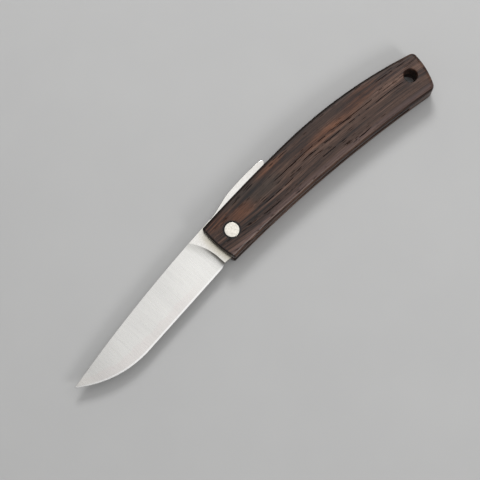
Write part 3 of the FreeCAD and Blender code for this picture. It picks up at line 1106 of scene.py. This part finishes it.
    def scale(self, name: str, upper: bool) -> bpy.types.Object:
        """One scale: the outline carried up its profile, faces ruled to the slit, seat and hole turned.

        Args:
            name: The piece's name.
            upper: Whether it is the upper one; the lower one is its mirror image.

        Returns:
            The piece.
        """
        shell = Shell()
        joint, top = self.thickness - self.scale_thickness, self.thickness

        def add(points: Array) -> None:
            """Adds a closed strip, mirrored in the middle plane for the lower scale."""
            shell.grid(points if upper else points * [1, 1, -1] + [0, 0, self.thickness], wrap=True)

        levels = self._levels()
        wall = np.stack([lifted(self.outline(side, front), joint + rise) for side, front, rise in levels])
        add(wall)
        shares = np.array(self.face_shares)[:, None, None]
        mouth = self.seat_radius + self.mouth_ease
        for rim, near, far, height in [
            (wall[-1, :, :2], mouth, self.hole_radius + self.hole_ease, top),
            (wall[0, :, :2], self.shank_radius, self.hole_radius, joint),
        ]:
            add(lifted((1 - shares) * rim[None] + shares * self.slit(near, far)[None], height))
        floor = top - self.seat_depth
        seat = [
            (mouth, top),
            (self.seat_radius, top - self.mouth_ease),
            (self.seat_radius, floor),
            (self.shank_radius, floor),
            (self.shank_radius, joint),
        ]
        add(revolved(np.array(seat), self.round_front))
        turn = np.linspace(0, QUARTER, self.lip_rows)
        lip = self.hole_ease
        hole = np.stack([self.hole_radius + lip * (1 - np.sin(turn)), top - lip * (1 - np.cos(turn))], -1)
        bore = [(self.hole_radius, joint + self.hole_row), (self.hole_radius, joint)]
        add(revolved(np.concatenate([hole, bore]), self.round_rear, (self.hole_reach, 0.0)))
        return shell.build(name, self.sharp)

    def strip(self, name: str, node: str) -> bpy.types.Object:
        """The strip between the scales: a merged copy of its node, its edges eased by a live Bevel.

        Args:
            name: The piece's name.
            node: The node's name.

        Returns:
            The piece.
        """
        mesh = frame["nodes"][node].data.copy()
        mesh.name = name
        mesh.materials.clear()
        piece = cleaned(name, mesh, self.strip_sharp, self.strip_weld, self.strip_level)
        bevel = piece.modifiers.new("eased_edges", "BEVEL")
        bevel.width = self.strip_ease * MM
        bevel.segments = 2
        bevel.limit_method = "ANGLE"
        bevel.angle_limit = math.radians(self.strip_sharp)
        bevel.harden_normals = True
        return piece


@dataclass
class Rivet:
    """The pivot rivet's two halves, turned, with the sizes of the solid in millimetres."""

    thickness: float = 10.56
    head_radius: float = 3.0
    head_chamfer: float = 0.15
    recess: float = 0.1
    seat_depth: float = 1.1
    barrel_radius: float = 2.0
    bore_radius: float = 1.26
    bore_top: float = 8.1
    barrel_foot: float = 1.2
    post_radius: float = 1.25
    post_top: float = 7.7
    columns: int = 120
    rows: int = 8
    sharp: float = 40.0

    def _half(self, name: str, height: float, inward: float, tail: list[Point]) -> bpy.types.Object:
        """One half: its head, a flat face with a rounded edge, and the rest of its profile carried round.

        Args:
            name: The piece's name.
            height: The height of the head's face.
            inward: The sign of the way into the handle.
            tail: The profile from the rim of the head to the axis, as (radius, height).

        Returns:
            The piece.
        """
        turn = np.linspace(0, QUARTER, self.rows)
        ease = self.head_chamfer
        flat = (self.head_radius - ease) * np.linspace(0, 1, self.rows)[:-1]
        rim = self.head_radius - ease * (1 - np.sin(turn))
        face = lifted(flat[:, None], height)
        edge = lifted(rim[:, None], height + inward * ease * (1 - np.cos(turn)))
        shell = Shell()
        shell.grid(revolved(np.concatenate([face, edge, tail]), self.columns), wrap=True)
        return shell.build(name, self.sharp)

    def barrel(self) -> bpy.types.Object:
        """The tubular half, with its head in the front scale.

        Returns:
            The piece.
        """
        seat = self.thickness - self.seat_depth
        tail = [
            (self.head_radius, seat),
            (self.barrel_radius, seat),
            (self.barrel_radius, self.barrel_foot),
            (self.bore_radius, self.barrel_foot),
            (self.bore_radius, self.bore_top),
            (0.0, self.bore_top),
        ]
        return self._half("rivet_barrel", self.thickness - self.recess, -1, tail)

    def post(self) -> bpy.types.Object:
        """The solid half, with its head in the rear scale.

        Returns:
            The piece.
        """
        tail = [
            (self.head_radius, self.seat_depth),
            (self.post_radius, self.seat_depth),
            (self.post_radius, self.post_top),
            (0.0, self.post_top),
        ]
        return self._half("rivet_post", self.recess, 1, tail)


# The blade

Patch = tuple[Array, Array]


@dataclass
class Blade:
    """The ground blade with its tang and lever, with the sizes in millimetres about the pivot.

    Its own axes start at the foot of the plunge: s runs along the straight edge to the tip, a across to the
    spine. It is made of patches, each its points in plan and half its thickness there, whose rows climb from
    the edge over its bevel and the face to the spine's rounding.
    """

    tip: Point = (-86.1, -5.8)
    spine: Point = (-3.0, 9.56)
    belly: Point = (-55.0, -13.78)
    heel: Point = (-13.2, -8.46)
    kick: Point = (-10.6, -7.4)
    spine_bulge: float = 1.2
    tang_radius: float = 7.4
    half: float = 1.15
    middle: float = 5.28
    shoulder_half: float = 0.12
    edge_half: float = 0.03
    least_half: float = 0.01
    bevel_angle: float = 11.3
    toe_blunt: float = 0.9
    setback: float = 0.35
    straight: float = 4.0
    sweep: float = 24.0
    hollow: float = 9.0
    hollow_spread: float = 2.2
    root_fall: float = 0.35
    shallow: float = 0.85
    shallow_fall: float = 2.4
    heel_fade: float = 0.25
    heel_fade_short: float = 1.0
    hole_radius: float = 2.04
    lever_start: float = 9.3
    lever_reach: float = 28.6
    lever_width: float = 2.6
    lever_bow: float = 0.35
    lever_gap: float = 0.2
    lever_ease: float = 0.3
    lever_ease_start: float = 0.8
    lever_end: float = 1.2
    root_lean: float = 1.3
    ramp_handle: float = 2.2
    notch_reach: float = 8.45
    notch_radius: float = 0.8
    notch_spare: float = 0.05
    spine_ease: float = 0.04
    most_ease: float = 0.1
    most_bevel: float = 0.45
    swell_run: float = 1.0
    row_shares: Triple = (0.03, 0.96, 0.01)
    ground_columns: int = 170
    hollow_columns: int = 44
    ricasso_columns: int = 70
    tang_columns: int = 44
    lever_columns: int = 70
    bevel_rows: int = 5
    face_rows: int = 48
    rim_rows: int = 5
    ramp_points: int = 160
    lever_points: int = 200
    notch_points: int = 8
    spine_points: int = 120
    tang_points: int = 60
    bend_points: int = 24
    repeats: int = 60
    sharp: float = 26.0
    handle: Handle = field(default_factory=Handle)

    def __post_init__(self) -> None:
        """Works out the blade's own axes, its arcs, its rows and the outline of its tang and lever."""
        self.along = unit(np.array(self.belly) - np.array(self.heel))
        self.across = np.array([self.along[1], -self.along[0]])
        back = (np.array(self.kick) - np.array(self.heel)) @ self.along - self.setback
        self.foot = np.array(self.heel) + self.along * back
        own = [tuple(self.own(np.array(p))) for p in (self.belly, self.tip, self.spine, self.heel, self.kick)]
        self.own_belly, self.own_tip, self.own_spine, self.own_heel, self.own_kick = own
        self.belly_arc = Arc.leaving(self.own_belly, (1.0, 0.0), self.own_tip)
        self.spine_arc = Arc.bulged(self.own_tip, self.own_spine, self.spine_bulge)
        self.spine_plan = Arc.bulged(self.spine, self.tip, self.spine_bulge)
        self.heel_arc = Arc.leaving(self.own_heel, (-1.0, 0.0), self.own_kick)
        self.slope = (self.half - self.shoulder_half) / (self.own_spine[1] - self.own_heel[1])
        self.steep = math.tan(math.radians(self.bevel_angle))
        self.shoulder = (self.shoulder_half - self.edge_half) / (self.steep - self.slope)

        bevel = np.linspace(0, 1, self.bevel_rows)
        face = np.linspace(0, 1, self.face_rows)[1:]
        rim = np.sin(np.linspace(0, QUARTER, self.rim_rows))[1:]
        pads = [(0, len(face) + len(rim)), (len(bevel), len(rim)), (len(bevel) + len(face), 0)]
        climbs = [np.pad(part, pad, constant_values=(0, 1)) for part, pad in zip((bevel, face, rim), pads)]
        self.bevel, self.face, self.rim = climbs
        self.share = sum(part * share for part, share in zip(climbs, self.row_shares))

        self.under, upper = self._under_curve(), self._upper_curve()
        ramp_x, ramp_y = upper[: self.ramp_points].T
        split = int(np.interp(0.0, ramp_x, np.arange(self.ramp_points))) + 1
        self.crown = np.array([0.0, np.interp(0.0, ramp_x, ramp_y)])
        self.upper_front = np.concatenate([upper[:split], self.crown[None]])
        self.upper_rear = np.concatenate([self.crown[None], upper[split:]])
        notch = self.outer_back(np.array(self.notch_reach), self.lever_gap)
        nearest = self.under[np.argmin(np.linalg.norm(self.under - notch, axis=1))]
        lean = unit(notch - nearest) * self.lever_width * self.root_lean
        self.root_low = share_at(self.under, notch)
        self.root_top = share_at(self.upper_rear, notch + lean)

    def own(self, points: Array) -> Array:
        """Plan points in the blade's own axes."""
        off = points - self.foot
        return np.stack([off @ self.along, off @ self.across], -1)

    def plan(self, s: Array, a: Array) -> Array:
        """Points of the blade's own axes in plan."""
        return self.foot + s[..., None] * self.along + a[..., None] * self.across

    def belly_rise(self, s: Array) -> Array:
        """How far the curved part of the edge has risen at s."""
        return self.belly_arc.height_at(np.clip(s, self.own_belly[0], self.own_tip[0]), False)

    def edge(self, s: Array) -> Array:
        """The lower outline: tang line, heel arc, straight edge and belly arc.

        Args:
            s: Places along the edge.

        Returns:
            Heights over the straight edge.
        """
        heel = self.heel_arc.height_at(np.clip(s, self.own_kick[0], self.own_heel[0]), False)
        tang = self.own_kick[1] + (s - self.own_kick[0]) * self.across[0] / self.along[0]
        return np.where(s < self.own_kick[0], tang, np.where(s < self.own_heel[0], heel, self.belly_rise(s)))

    def tall(self, s: Array) -> Array:
        """How far the spine stands over the edge at s."""
        return np.maximum(self.spine_arc.height_at(s, True) - self.edge(s), 0.0)

    def easing(self, s: Array) -> Array:
        """The radius of the spine's rounding at s, less where the blade is very low."""
        return np.minimum(self.spine_ease, self.most_ease * self.tall(s))

    def heights(self, s: Array) -> Array:
        """How high over the straight edge each row runs at s.

        Args:
            s: Places along the edge, (rows, columns).

        Returns:
            Heights, (rows, columns).
        """
        bevel, face, rim = (part[:, None] for part in (self.bevel, self.face, self.rim))
        tall, ease = self.tall(s), self.easing(s)
        width = np.minimum(self.shoulder, self.most_bevel * tall)
        return self.edge(s) + bevel * width + face * (tall - width - ease) + rim * ease

    def wall(self, q: Array, a: Array) -> Array:
        """Where the curve that runs q before the plunge lies at height a: straight, then round its arc."""
        rise = np.maximum(a - self.straight, 0.0)
        return self.sweep - np.sqrt(np.maximum((self.sweep - q) ** 2 - rise**2, 0.0))

    def ground(self, s: Array, a: Array) -> Array:
        """Half the thickness that the primary grind leaves."""
        return self.shoulder_half + self.slope * (a - self.belly_rise(s))

    def swept(self, reach: Array) -> tuple[Array, Array]:
        """The hollow's columns, from the line where it leaves the flat to its run-out on the ground face.

        Args:
            reach: How far in front of that line each column runs.

        Returns:
            s and a of each point, found by repeating s = wall(reach, a(s)).
        """
        s = np.zeros((len(self.share), len(reach))) + reach[None]
        for _ in range(self.repeats):
            s = self.wall(reach[None], self.heights(s))
        return s, self.heights(s)

    def hollowed(self, reach: Array, depth: Array) -> Array:
        """What the hollow leaves over the ground face: a tight root and a shallow run-out.

        Each falls off as exp(-reach / fall), less its end value; the shallow share of a depth d is
        d / (1 + (d / shallow)^4)^(1/4), and the root takes the rest.

        Args:
            reach: How far in front of the flat each column runs.
            depth: How deep the ground face lies under the flat, (rows, columns).

        Returns:
            Heights over the ground face.
        """
        broad = depth / (1 + (depth / self.shallow) ** 4) ** 0.25
        parts = []
        for share, fall in ((broad, self.shallow_fall), (depth - broad, self.root_fall)):
            end = math.exp(-self.hollow / fall)
            parts.append(share * (np.exp(-reach / fall) - end)[None] / (1 - end))
        return parts[0] + parts[1]

    def rounding(self, ease: Union[float, Array], low_ease: Union[float, Array] = 0.0) -> Array:
        """How far the rows drop at the rounded upper and lower edges, with radii for all or by column."""
        upper, lower = (1 - np.sqrt(np.maximum(1 - part**2, 0.0)) for part in (self.rim, 1 - self.bevel))
        return upper[:, None] * ease + lower[:, None] * low_ease

    def outer_back(self, reach: Array, above: float) -> Array:
        """Points this far over the handle's back, on the radii of its front arc.

        Args:
            reach: The x at which each radius meets the back.
            above: How far over the back the points lie.

        Returns:
            Points in plan.
        """
        arc = self.handle.arcs["back"]
        centre = np.array(arc.centre)
        on = np.stack([np.asarray(reach, float), arc.height_at(reach, True)], -1) - centre
        return centre + unit(on) * (arc.radius + above)

    def _upper_curve(self) -> Array:
        """Closely set points from the spine over the ramp and the lever's top to the middle of its end.

        The ramp weighs four knots by (1 - t)^3, 3t(1 - t)^2, 3t^2(1 - t) and t^3, so that it leaves the
        spine and meets the lever's bowed top in line.

        Returns:
            Points in plan, the ramp's first.
        """
        ends = np.array([self.lever_reach, self.lever_start])
        over, top = self.outer_back(ends, self.lever_gap + self.lever_width)
        bow = Arc.bulged(over, top, self.lever_bow)
        spine = np.array(self.spine)
        land, leave = self.spine_plan.tangent(0.0), bow.tangent(1.0)
        knots = [spine, spine - land * self.ramp_handle, top + leave * self.ramp_handle, top]
        t = np.linspace(0, 1, self.ramp_points)[:, None]
        weights = [(1 - t) ** 3, 3 * t * (1 - t) ** 2, 3 * t**2 * (1 - t), t**3]
        ramp = sum(weight * knot for weight, knot in zip(weights, knots))
        run = bow.at(np.linspace(1, 0, self.lever_points))[1:]
        return self._turned_end(np.concatenate([ramp, run]), over, -1.0)

    def _under_curve(self) -> Array:
        """Closely set points from under the pivot round the tang and the notch, along the lever to its end.

        Returns:
            Points in plan.
        """
        tang = Arc((0.0, 0.0), self.tang_radius, -QUARTER, QUARTER)
        reach = np.linspace(self.notch_reach, self.lever_reach, self.lever_points)
        run = self.outer_back(reach, self.lever_gap)
        notch, corner = run[0], np.array([self.tang_radius, 0.0])
        climb, ahead = unit(notch - corner), unit(run[self.notch_points] - notch)
        set_off = self.notch_radius * math.tan(math.acos(float(climb @ ahead)) / 2)
        first, last = notch - climb * set_off, notch + ahead * set_off
        fillet = Arc.leaving(first, climb, last).at(np.linspace(0, 1, self.bend_points))
        rest = run[(run - last) @ ahead > self.notch_spare]
        rise = np.linspace(corner, first, self.tang_points)[1:-1]
        points = [tang.at(np.linspace(0, 1, self.tang_points)), rise, fillet, rest]
        return self._turned_end(np.concatenate(points), run[-1], 1.0)

    def _turned_end(self, points: Array, corner: Array, side: float) -> Array:
        """Cuts a side of the lever short of its corner and rounds it to the middle of the lever's end.

        Args:
            points: The side's points.
            corner: The corner.
            side: 1 for the side on the handle, -1 for the outer one.

        Returns:
            The points with the rounding added.
        """
        out = unit(corner - np.array(self.handle.arcs["back"].centre))
        ahead = np.array([out[1], -out[0]])
        kept = points[(points - corner) @ ahead < -self.lever_end]
        middle = corner - ahead * self.lever_end + out * side * self.lever_end
        angle = np.linspace(0, QUARTER, self.bend_points)[:, None]
        bend = middle + self.lever_end * (np.sin(angle) * ahead - side * np.cos(angle) * out)
        end = corner + out * side * self.lever_width / 2
        return np.concatenate([kept, bend, end[None]])

    def tang_line(self, ease: float, side: float) -> Array:
        """The rows along the upright line through the pivot, round one side of its hole.

        The two rows that come nearest to the ends of the half circle are moved onto them.

        Args:
            ease: The upper edge's radius there.
            side: 1 to pass the hole on its rear side, -1 on its front side.

        Returns:
            Points as (rows, 2).
        """
        face, hole = self.face, self.hole_radius
        start, stop = -self.tang_radius + self.shoulder, self.crown[1] - ease
        runs = np.array([0, -hole - start, math.pi * hole, stop - hole])
        knots = np.cumsum(runs) / runs.sum()
        for knot in knots[1:3]:
            off = np.abs(face - knot)
            face = np.where(off == off.min(), knot, face)
        angle = np.interp(face, knots, [0, 0, math.pi, math.pi])
        height = np.interp(face, knots, [start, -hole, hole, stop])
        turning = (face >= knots[1]) & (face <= knots[2])
        y = np.where(turning, -hole * np.cos(angle), height)
        y = y + (self.bevel - 1) * self.shoulder + self.rim * ease
        return np.stack([np.where(turning, side * hole * np.sin(angle), 0.0), y], -1)

    def bars(self, lower: Array, upper: Array) -> Array:
        """Rows from a lower to an upper line, the first and the last of them within the edges' rounding.

        Args:
            lower: The lower line, (columns, 2).
            upper: The upper line, (columns, 2).

        Returns:
            Points as (rows, columns, 2).
        """
        span = np.linalg.norm(upper - lower, axis=1)
        ease = np.minimum(self.lever_ease, self.most_bevel * span)
        inner = (self.bevel + self.rim)[:, None] * ease + self.face[:, None] * (span - 2 * ease)
        return lower + (upper - lower) * (inner / np.maximum(span, TINY))[..., None]

    def ground_patch(self, runout: Array) -> Patch:
        """The ground face from the hollow's run-out to the tip: the lesser of primary grind and edge bevel.

        Args:
            runout: The s at which each row starts, (rows, 1).

        Returns:
            The patch.
        """
        s = runout + (self.own_tip[0] - runout) * np.linspace(0, 1, self.ground_columns)[None]
        a = self.heights(s)
        blunt = self.toe_blunt * (self.shoulder_half - self.edge_half)
        blunt = blunt * ease_in_out(self.own_belly[0], self.own_tip[0], s)
        bevel = self.edge_half + blunt + self.steep * (a - self.belly_rise(s))
        thick = np.minimum(self.ground(s, a), bevel) - self.rounding(self.easing(s[0]))
        return self.plan(s, a), np.maximum(thick, self.least_half)

    def hollow_patch(self, reach: Array, s: Array, a: Array) -> Patch:
        """The hollow between the flat and the ground face, with the bevel fading in from the heel.

        Args:
            reach: How far in front of the flat each column runs.
            s: Places along the edge, (rows, columns).
            a: Heights over it.

        Returns:
            The patch.
        """
        ground = self.ground(s, a)
        fade = self.heel_fade * (1 - ease_in_out(self.own_heel[0], self.hollow - self.heel_fade_short, s))
        bevel = self.edge_half + self.steep * (a - self.edge(s)) + fade
        thick = np.minimum(ground, bevel) + self.hollowed(reach, np.maximum(self.half - ground, 0.0))
        return self.plan(s, a), np.minimum(thick, self.half) - self.rounding(self.spine_ease)

    def ricasso_patch(self, left: Array) -> Patch:
        """The flat from the hollow to the upright line through the pivot.

        Args:
            left: The line where the hollow leaves the flat, (rows, 2).

        Returns:
            The patch.
        """
        run = self.spine_plan.at(np.linspace(self.spine_plan.share_of(left[-1]), 0, self.spine_points))
        lower = np.linspace(left[0], [0.0, -self.tang_radius], self.ricasso_columns)
        upper = spaced(np.concatenate([run[:-1], self.upper_front]), 0, 1, self.ricasso_columns)
        swell = ease_in_out(self.spine[0] - self.swell_run, 0.0, upper[:, 0])
        ease = self.spine_ease + (self.lever_ease - self.spine_ease) * swell
        right = self.tang_line(float(ease[-1]), -1.0)
        return spanned(lower, upper, left, right, self.share), self.half - self.rounding(ease)

    def tang_patch(self) -> Patch:
        """The tang from the upright line through the pivot to the lever's root.

        Returns:
            The patch.
        """
        count = self.tang_columns
        lower = spaced(self.under, 0, self.root_low, count)
        upper = spaced(self.upper_rear, 0, self.root_top, count)
        left, right = self.tang_line(self.lever_ease, 1.0), self.bars(lower[-1:], upper[-1:])[:, 0]
        low_ease = self.lever_ease * ease_in_out(self.lever_ease_start, 1.0, np.linspace(0, 1, count))
        drop = self.rounding(self.lever_ease, low_ease)
        return spanned(lower, upper, left, right, self.share), self.half - drop

    def lever_patch(self) -> Patch:
        """The lever from its root to its end.

        Returns:
            The patch.
        """
        count = self.lever_columns
        lower = spaced(self.under, self.root_low, 1, count)
        upper = spaced(self.upper_rear, self.root_top, 1, count)
        deep = np.full(count, self.lever_ease)
        drop = self.rounding(deep, deep)
        drop[:, -1] = self.lever_ease
        return self.bars(lower, upper), self.half - drop

    def build(self) -> bpy.types.Object:
        """Joins ground face, hollow, ricasso, tang and lever into one closed mesh.

        Returns:
            The piece.
        """
        reach = self.hollow * np.linspace(0, 1, self.hollow_columns) ** self.hollow_spread
        s, a = self.swept(reach)
        hollow = self.hollow_patch(reach, s, a)
        ricasso, tang = self.ricasso_patch(hollow[0][:, 0]), self.tang_patch()
        shell = Shell()
        for plan, half in (self.ground_patch(s[:, -1:]), hollow, ricasso, tang, self.lever_patch()):
            faces = [lifted(plan, self.middle + side * half) for side in (1, -1)]
            walls = [np.stack([face[row] for face in faces]) for row in (0, -1)]
            for points in faces + walls:
                shell.grid(points)
        for line in (ricasso[0][:, -1], tang[0][:, 0]):
            bore = line[np.abs(np.hypot(*line.T) - self.hole_radius) < TINY]
            shell.grid(np.stack([lifted(bore, self.middle + side * self.half) for side in (1, -1)]))
        return shell.build("ground_blade", self.sharp)


# Dressing the pieces


def settle(
    piece: bpy.types.Object, body: Body, slot: Slot, material: bpy.types.Material, *nodes: str
) -> None:
    """Dresses a piece, lets it ride on its body and stand for its nodes.

    Args:
        piece: The piece.
        body: The body it rides on.
        slot: The record's slot; not used.
        material: Its material.
        nodes: The nodes that it stands for.
    """
    piece.data.materials.clear()
    piece.data.materials.append(material)
    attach(piece, body.value)
    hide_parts(*nodes)
    LOG.info("%s: %d faces on %s", piece.name, len(piece.data.polygons), body.value)


# The studio


@dataclass(frozen=True)
class Lamp:
    """A rectangular lamp: where it hangs and points, its width and height in metres, its power in watts."""

    name: str
    spot: Triple
    aim: Triple
    size: Point
    power: float

    def hang(self) -> None:
        """Makes the lamp, turned to its aim."""
        data = bpy.data.lights.new(self.name, "AREA")
        data.shape = "RECTANGLE"
        data.size, data.size_y = self.size
        data.energy = self.power
        made = bpy.data.objects.new(self.name, data)
        made.location = self.spot
        made.rotation_mode = "QUATERNION"
        made.rotation_quaternion = (Vector(self.aim) - Vector(self.spot)).to_track_quat("-Z", "Y")
        bpy.context.scene.collection.objects.link(made)


@dataclass
class Studio:
    """A pale floor, soft light from the upper left and the camera of the photograph.

    Attributes:
        eye: The camera's place, in millimetres about the pivot.
        aim: The point that it looks at.
        up: The direction that is up in the picture.
        lens: The focal length on the sensor.
        clip: How near the camera sees, in metres.
        floor_gap: How far the floor lies under the knife, in millimetres.
        world: The strength of the white world.
        lamps: A wide soft box overhead, a key lamp over the handle's back and a strip beside the belly.
    """

    eye: Triple = (-71.3, -85.3, 513.9)
    aim: Triple = (0.35, -4.37, 5.3)
    up: Triple = (0.6484, 0.7323, 0.2079)
    lens: float = 98.67
    sensor: float = 36.0
    clip: float = 0.01
    floor_half: float = 1500.0
    floor_gap: float = 0.02
    floor_colours: tuple[Colour, Colour] = ((0.50, 0.50, 0.498), (0.513, 0.513, 0.51))
    mottle: Layer = Layer((0.02, 0.02, 0.02), 3.0, 0.6)
    world: float = 0.25
    lamps: tuple[Lamp, ...] = (
        Lamp("overhead", (0.39, 0.12, 0.90), (0.39, 0.12, 0.0), (1.16, 1.25), 4.2),
        Lamp("key", (0.40, 0.48, 0.66), (0.0, 0.0, 0.0), (0.28, 0.28), 3.4),
        Lamp("strip", (0.11, -0.62, 0.58), (0.02, 0.0, 0.0), (0.18, 0.28), 1.7),
    )

    def camera(self) -> None:
        """Makes the camera, turned so that it looks at the aim with the given up."""
        data = bpy.data.cameras.new("camera")
        data.lens = self.lens
        data.sensor_width = self.sensor
        data.clip_start = self.clip
        made = bpy.data.objects.new("camera", data)
        eye = np.array(self.eye)
        back = unit(eye - np.array(self.aim))
        right = unit(np.cross(np.array(self.up), back))
        turn = np.stack([right, np.cross(back, right), back], 1)
        rows = [[*row, place] for row, place in zip(turn, eye * MM + PIVOT)]
        made.matrix_world = Matrix(rows + [[0, 0, 0, 1]])
        bpy.context.scene.collection.objects.link(made)
        bpy.context.scene.camera = made

    def floor(self) -> None:
        """Makes the floor, a wide plain sheet just under the knife, with a faint mottle."""
        shell = Shell()
        run = np.linspace(-self.floor_half, self.floor_half, 5)
        shell.grid(lifted(np.stack(np.meshgrid(run, run), -1), -self.floor_gap))
        made = shell.build("floor", 30.0)
        s = Surface("pale_floor")
        colour = s.mix(*self.floor_colours, s.noise(s.millimetres(), self.mottle).between(0.3, 0.7))
        made.data.materials.append(s.finish(Base_Color=colour, Roughness=0.85, Specular_IOR_Level=0.2))

    def light(self) -> None:
        """Makes a dim white world and hangs the lamps."""
        world = bpy.data.worlds.new("studio")
        world.use_nodes = True
        shade = world.node_tree.nodes["Background"]
        shade.inputs["Color"].default_value = (1.0, 1.0, 1.0, 1.0)
        shade.inputs["Strength"].default_value = self.world
        bpy.context.scene.world = world
        for lamp in self.lamps:
            lamp.hang()


def main() -> None:
    """Builds the studio and the knife's pieces in order."""
    logging.basicConfig(level=logging.INFO, format="%(message)s")
    studio = Studio()
    studio.camera()
    studio.floor()
    studio.light()
    bpy.context.scene.view_settings.view_transform = "Standard"

    handle = Handle()
    wood = DarkWood("scale_wood", handle).material()
    spacer_wood = DarkWood("spacer_wood", handle, (40.0, 15.0, 5.0)).material()
    rivet_steel = Steel("faced_steel", (0.75, 0.715, 0.645), 0.30, 0.002, 35.0, 2.0).material()
    dowel_steel = Steel("drawn_steel", (0.55, 0.55, 0.54), 0.35, 0.003, 90.0, 4.0).material()
    bronze = Bronze().material()

    settle(handle.scale("upper_scale", True), Body.HANDLE, Slot.SCALE, wood, "front_scale")
    settle(handle.scale("lower_scale", False), Body.HANDLE, Slot.SCALE, wood, "rear_scale")
    strip = handle.strip("spacer_strip", "back_spacer")
    settle(strip, Body.HANDLE, Slot.SPACER, spacer_wood, "back_spacer")
    rivet = Rivet()
    settle(rivet.barrel(), Body.HANDLE, Slot.RIVET, rivet_steel, "pivot_barrel")
    settle(rivet.post(), Body.HANDLE, Slot.RIVET, rivet_steel, "pivot_post")
    blade = Blade(handle=handle)
    settle(blade.build(), Body.BLADE, Slot.BLADE, BladeSteel(blade).material(), "blade")
    for nodes, material in [
        (("front_washer", "rear_washer"), bronze),
        (("front_dowel", "middle_dowel", "rear_dowel"), dowel_steel),
    ]:
        for node in nodes:
            kept = frame["nodes"][node]
            kept.data.materials.clear()
            kept.data.materials.append(material)
            LOG.info("%s: kept, with %s", node, material.name)


if __name__ == "__main__":
    main()
